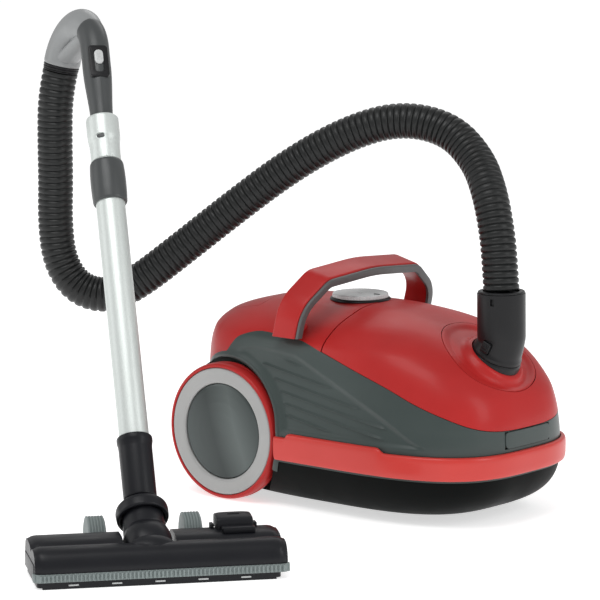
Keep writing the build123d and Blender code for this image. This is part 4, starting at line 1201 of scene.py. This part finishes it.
def panel_block(up, size, low, high):
    """A block that faces outwards on the grip's slide panel."""
    return block(PANEL_AT + WAND_UP * up, PANEL_SIDE, WAND_UP, PANEL_OUT, size, low, high)


panel = panel_block(0.0, (0.0235, 0.043, 0.004), -0.006, 0.0034)
panel_piece = piece("slide_panel", panel, "trim_black", "handle", ("bleed_panel",), bevel=0.0012)
combine(panel_piece, panel_block(0.0, (0.0118, 0.030, 0.0045), 0.0015, 0.01))
sharpen(panel_piece, 40)
slider = panel_block(0.0050, (0.0108, 0.0188, 0.0050), 0.0016, 0.0052)
piece("slider_knob", slider, "button_grey", "bleed", ("bleed_slider",), bevel=0.0009)
for step in range(3):
    ridge = panel_block(0.0015 + 0.0035 * step, (0.0060, 0.0010, 0.0004), 0.0050, 0.0056)
    piece(f"slider_ridge_{step + 1}", ridge, "button_grey", "bleed", bevel=0.0002)

# ---- The floor nozzle --------------------------------------------------------------------
NOZZLE_HALF, STRETCH = 0.141, 1.040
NOZZLE_HANDS = ((-1, "left"), (1, "right"))
SECTION = [
    (0.0010, 0.0166), (0.0004, 0.0200), (0.0018, 0.0255), (0.0058, 0.0308), (0.0120, 0.0345),
    (0.0200, 0.0362), (0.0290, 0.0362), (0.0350, 0.0352), (0.0385, 0.0330), (0.0410, 0.0330),
    (0.0440, 0.0352), (0.0520, 0.0374), (0.0640, 0.0380), (0.0780, 0.0378), (0.0870, 0.0362),
    (0.0930, 0.0325), (0.0962, 0.0262), (0.0970, 0.0200), (0.0970, 0.0082), (0.0030, 0.0082),
]
SECTION_FOOT, SECTION_RISE, SECTION_CENTRE = 0.0166, 0.38, (0.048, 0.018)
POCKET_X, POCKET_HALF, BITE_R = -0.005, 0.0305, 0.0352
STRIP_HALF, STRIP_STEP, STRIP_RIB = 0.1430, 0.0046, 0.0026
STRIP = [
    (0.0010, 0.0083), (0.0, 0.0091), (0.0, 0.0168), (0.0010, 0.0176), (0.0032, 0.0176), (0.0032, 0.0083),
]


def nozzle_block(x, y, size, low, high):
    """An upright block on the nozzle."""
    return block(noz(x, y, 0), NOZZLE_ALONG, NOZZLE_BACK, UP, size, low, high)


def stretched(x):
    """A place along the nozzle, whose right half is a little longer."""
    return x * STRETCH if x > 0 else x


def nozzle_shell():
    """The nozzle's upper body: a rolled front, a groove behind it, a raised back and rounded ends."""
    stations = [0.0, 0.0012, 0.003, 0.006, 0.010, 0.016] + [0.016 + 0.0125 * n for n in range(1, 10)]
    left = [-NOZZLE_HALF + station for station in stations]
    right = [NOZZLE_HALF - station for station in reversed(stations)]
    rows = []
    for x in left + [0.0] + right:
        pull = 0.0042 * (1 - smooth_step(0.0, 0.010, NOZZLE_HALF - abs(x))) ** 1.5
        row = []
        for y, flat in SECTION:
            z = flat + SECTION_RISE * max(0.0, flat - SECTION_FOOT)
            dy = SECTION_CENTRE[0] - y
            dz = SECTION_CENTRE[1] - z
            size = sqrt(dy * dy + dz * dz)
            low = z < 0.012
            y += dy / size * pull * (0.5 if low else 1)
            z += 0 if low else dz / size * pull
            row.append(noz(stretched(x), y, z))
        rows.append(row)
    return grid(rows, closed=True, capped=True)


body_piece = piece("nozzle_cover", nozzle_shell(), "nozzle_black", "nozzle", ("nozzle_body",), smooth=35)
combine(body_piece, nozzle_block(POCKET_X, 0.077, (2 * POCKET_HALF, 0.086, 0.004), 0.0079, 0.07))
# a swelling that leads from the front roll up to the joint, cut back to let the joint tilt
turns = [radians(-90 + 7.5 * step) for step in range(25)]
cowl = [(0.036 * sin(turn), max(0.0003, 0.0215 * cos(turn))) for turn in turns]
combine(body_piece, lathe(noz(POCKET_X, 0.033, 0.0295), NOZZLE_ALONG, cowl, 64), "UNION")
bite = [(-POCKET_HALF, 0.0005), (-POCKET_HALF, BITE_R), (POCKET_HALF, BITE_R), (POCKET_HALF, 0.0005)]
combine(body_piece, lathe(noz(*NOZZLE_TILT), NOZZLE_ALONG, bite, 96))
sharpen(body_piece, 35)
FLOOR_WHEEL_X = 0.056
for hand, word in NOZZLE_HANDS:
    arm = nozzle_block(hand * (FLOOR_WHEEL_X - 0.0135), 0.112, (0.004, 0.042, 0.001), 0.013, 0.033)
    piece(f"wheel_arm_{word}", arm, "nozzle_black", "nozzle", bevel=0.0009)
    bridge = nozzle_block(hand * (FLOOR_WHEEL_X - 0.017), 0.104, (0.012, 0.020, 0.002), 0.010, 0.030)
    piece(f"wheel_bridge_{word}", bridge, "nozzle_black", "nozzle", bevel=0.0012)


def strip_mesh(count=620):
    """The grey strip round the front edge, with fine upright ribs."""
    rows = []
    for n in range(count + 1):
        x = -STRIP_HALF + 2 * STRIP_HALF * n / count
        edge = STRIP_HALF - abs(x)
        back = 0.0060 * (1 - smooth_step(0.0, 0.0075, edge)) ** 2
        wave = 0.5 - 0.5 * cos(2 * pi * x / STRIP_STEP)
        rib = STRIP_RIB * smooth_step(0.35, 0.65, wave) if edge > 0.004 else 0.0
        row = []
        for y, z in STRIP:
            sunk = 0.0012 - rib if y < 0.0009 else 0.0006
            row.append(noz(stretched(x), y - 0.0020 + back + sunk, z))
        rows.append(row)
    return grid(rows, closed=True, capped=True)


piece("front_strip", strip_mesh(), "nozzle_grey", "nozzle", ("nozzle_strip",), smooth=50)
for hand, word in NOZZLE_HANDS:
    end = nozzle_block(stretched(hand * 0.1416), 0.009, (0.0028, 0.0135, 0.0012), 0.0083, 0.0168)
    piece(f"strip_end_{word}", end, "nozzle_grey", "nozzle", bevel=0.0006)
    plate = nozzle_block(stretched(hand * 0.1404), 0.050, (0.0030, 0.078, 0.0014), 0.0095, 0.0265)
    piece(f"end_plate_{word}", plate, "nozzle_black", "nozzle", bevel=0.0008)
for step in range(5):
    spot = noz(-0.098 + 0.049 * step, 0.0018, 0.0042)
    mark = block(spot, NOZZLE_ALONG, UP, -NOZZLE_BACK, (0.0115, 0.0017, 0.0005), -0.001, 0.0008)
    piece(f"front_mark_{step + 1}", mark, "button_grey", "nozzle", bevel=0.0002)


def voxel_smooth(bm, size, rounds):
    """Melts the solids of a mesh into one soft form."""
    obj = holder("melt", bm)
    melt = obj.modifiers.new("melt", "REMESH")
    melt.mode = "VOXEL"
    melt.voxel_size = size
    relax = obj.modifiers.new("relax", "SMOOTH")
    relax.factor = 0.5
    relax.iterations = rounds
    apply_modifiers(obj)
    return obj


SWIVEL_AT, SWIVEL_UP = place("nozzle_swivel"), heading("nozzle_swivel")
HUMP_HALF = 0.0288


def joint_dome():
    """The nozzle's joint: a round hump over the hinge that flows up into the swivel."""
    hinge = noz(*NOZZLE_TILT)
    hump = [(-HUMP_HALF - 0.0001, 0.0005)]
    for n in range(25):
        x = -1 + 2 * n / 24
        hump.append((HUMP_HALF * x, 0.0012 + 0.0330 * (1 - abs(x) ** 2.6) ** (1 / 2.2)))
    bm = lathe(hinge, NOZZLE_ALONG, hump + [(HUMP_HALF + 0.0001, 0.0005)], 72)
    # the underside is drawn in, so that it clears the floor
    for vert in bm.verts:
        rel = vert.co - hinge
        radial = rel - NOZZLE_ALONG * rel.dot(NOZZLE_ALONG)
        vert.co -= radial * 0.25 * (1 - smooth_step(-0.012, 0.008, rel.z))
    thick = SWIVEL_UP.cross(NOZZLE_ALONG)
    turns = [2 * pi * k / 64 for k in range(64)]
    rows = []
    for n in range(13):
        share = n / 12
        wide, tall = 0.0268 - 0.0032 * share, 0.0262 - 0.0026 * share
        centre = hinge + SWIVEL_UP * 0.049 * share
        rows.append([centre + NOZZLE_ALONG * wide * cos(a) + thick * tall * sin(a) for a in turns])
    duct = grid(rows, closed=True, capped=True)
    mesh = bpy.data.meshes.new("duct")
    duct.to_mesh(mesh)
    duct.free()
    bm.from_mesh(mesh)
    return bm


dome = voxel_smooth(joint_dome(), 0.0011, 14)
pin_room = [(-0.04, 0.0002), (-0.04, 0.0041), (0.04, 0.0041), (0.04, 0.0002)]
combine(dome, lathe(noz(*NOZZLE_TILT), NOZZLE_ALONG, pin_room, 32))
settle(dome, "joint_dome", "nozzle_black", "nozzle_neck", ("nozzle_joint",), smooth=60)
ring = [
    (-0.0125, 0.0258), (-0.0125, 0.0290), (-0.0105, 0.0302), (-0.0020, 0.0306), (0.0015, 0.0300),
    (0.0040, 0.0278), (0.0052, 0.0240), (0.0052, 0.0150), (-0.0028, 0.0150), (-0.0034, 0.0256),
]
ring_nodes = ("swivel_ring",)
turned("swivel_collar", SWIVEL_AT, SWIVEL_UP, ring, "nozzle_black", "nozzle_neck", ring_nodes, 0.0010)
TYRE_RIB = [
    (0.0, 0.0262), (0.0004, 0.0270), (0.0020, 0.0270), (0.0024, 0.0262), (0.0026, 0.0256), (0.0032, 0.0256),
]
tyre = [(-0.0105, 0.0026), (-0.0105, 0.0240)]
for step in range(6):
    start = -0.0100 + 0.00345 * step
    tyre += [(start + reach, radius) for reach, radius in TYRE_RIB if start + reach < 0.0104]
tyre += [(0.0105, 0.0240), (0.0105, 0.0026)]
for hand, word in NOZZLE_HANDS:
    node = f"nozzle_wheel_{word}"
    at = noz(hand * FLOOR_WHEEL_X, 0.126, 0.027)
    turned(f"floor_wheel_{word}", at, NOZZLE_ALONG, tyre, "nozzle_grey", node, (node,), 0.0003)


def pedal_rows():
    """The foot pedal: a block with a crowned top that leans down to its front."""
    low, front, back = 0.0450, 0.0620, 0.0900
    crown = [
        (front + 0.0030, 0.0588), (front + 0.0070, 0.0602), (front + 0.0160, 0.0612),
        (back - 0.0040, 0.0614), (back - 0.0008, 0.0600),
    ]
    rows = []
    for n in range(17):
        share = n / 16
        x = 0.076 + 0.042 * share
        side_drop = 0.0012 * abs(2 * share - 1) ** 4
        over = [noz(x, y, z - side_drop) for y, z in crown]
        rise = [noz(x, front, low), noz(x, front + 0.0014, 0.0560)]
        rows.append(rise + over + [noz(x, back, 0.0570), noz(x, back, low)])
    return grid(rows, closed=True, capped=True)


piece("pedal_block", pedal_rows(), "nozzle_black", "pedal", ("nozzle_pedal",), smooth=35, bevel=0.0010)
tab = nozzle_block(0.099, 0.0555, (0.038, 0.016, 0.002), 0.0440, 0.0512)
piece("pedal_tab", tab, "nozzle_black", "pedal", bevel=0.0010)
PEDAL_MIDDLE = 0.097
bar = nozzle_block(PEDAL_MIDDLE, 0.0760, (0.014, 0.0016, 0.0006), 0.0605, 0.0618)
piece("pedal_mark", bar, "trim_black", "pedal", bevel=0.0002)
for hand, word in NOZZLE_HANDS:
    ear = nozzle_block(PEDAL_MIDDLE + hand * 0.025, 0.078, (0.004, 0.012, 0.001), 0.040, 0.0508)
    piece(f"pedal_ear_{word}", ear, "nozzle_black", "nozzle", bevel=0.0009)


# ---- Floor, backdrop and lights -------------------------------------------------------------
def plain_floor():
    """A pale floor, white as far as the view goes."""
    look = Shader("floor_pale", 0.9, level=0.1)
    look.colour(look.ramp(look.noise(3, 2), [(0.4, (0.88, 0.88, 0.88)), (0.6, (0.90, 0.90, 0.90))]))
    look.out.inputs["Emission Color"].default_value = (1, 1, 1, 1)
    look.out.inputs["Emission Strength"].default_value = 0.60
    bm = bmesh.new()
    bmesh.ops.create_grid(bm, x_segments=2, y_segments=2, size=40)
    mesh = bpy.data.meshes.new("floor")
    bm.to_mesh(mesh)
    bm.free()
    floor = bpy.data.objects.new("floor", mesh)
    floor.data.materials.append(look.material)
    bpy.context.scene.collection.objects.link(floor)


plain_floor()


def soft_light(name, spot, size, power, target=(0, 0, 0.2)):
    """A large lamp aimed at the object."""
    lamp = bpy.data.lights.new(name, "AREA")
    lamp.shape = "RECTANGLE"
    lamp.size, lamp.size_y = size
    lamp.energy = power
    obj = bpy.data.objects.new(name, lamp)
    obj.location = spot
    obj.rotation_euler = (Vector(target) - Vector(spot)).to_track_quat("-Z", "Y").to_euler()
    bpy.context.scene.collection.objects.link(obj)


soft_light("key", (0.3, -1.3, 2.7), (1.8, 1.2), 30)
soft_light("fill", (-2.2, -1.6, 1.2), (1.2, 1.6), 8)
soft_light("side", (2.6, 0.4, 1.5), (0.8, 1.8), 16)
soft_light("back", (-0.8, 2.2, 2.1), (2.4, 1.0), 10)
world = bpy.data.worlds.new("studio")
world.use_nodes = True
world.node_tree.nodes["Background"].inputs["Color"].default_value = (1, 1, 1, 1)
world.node_tree.nodes["Background"].inputs["Strength"].default_value = 0.50
bpy.context.scene.world = world
bpy.context.scene.view_settings.view_transform = "Standard"
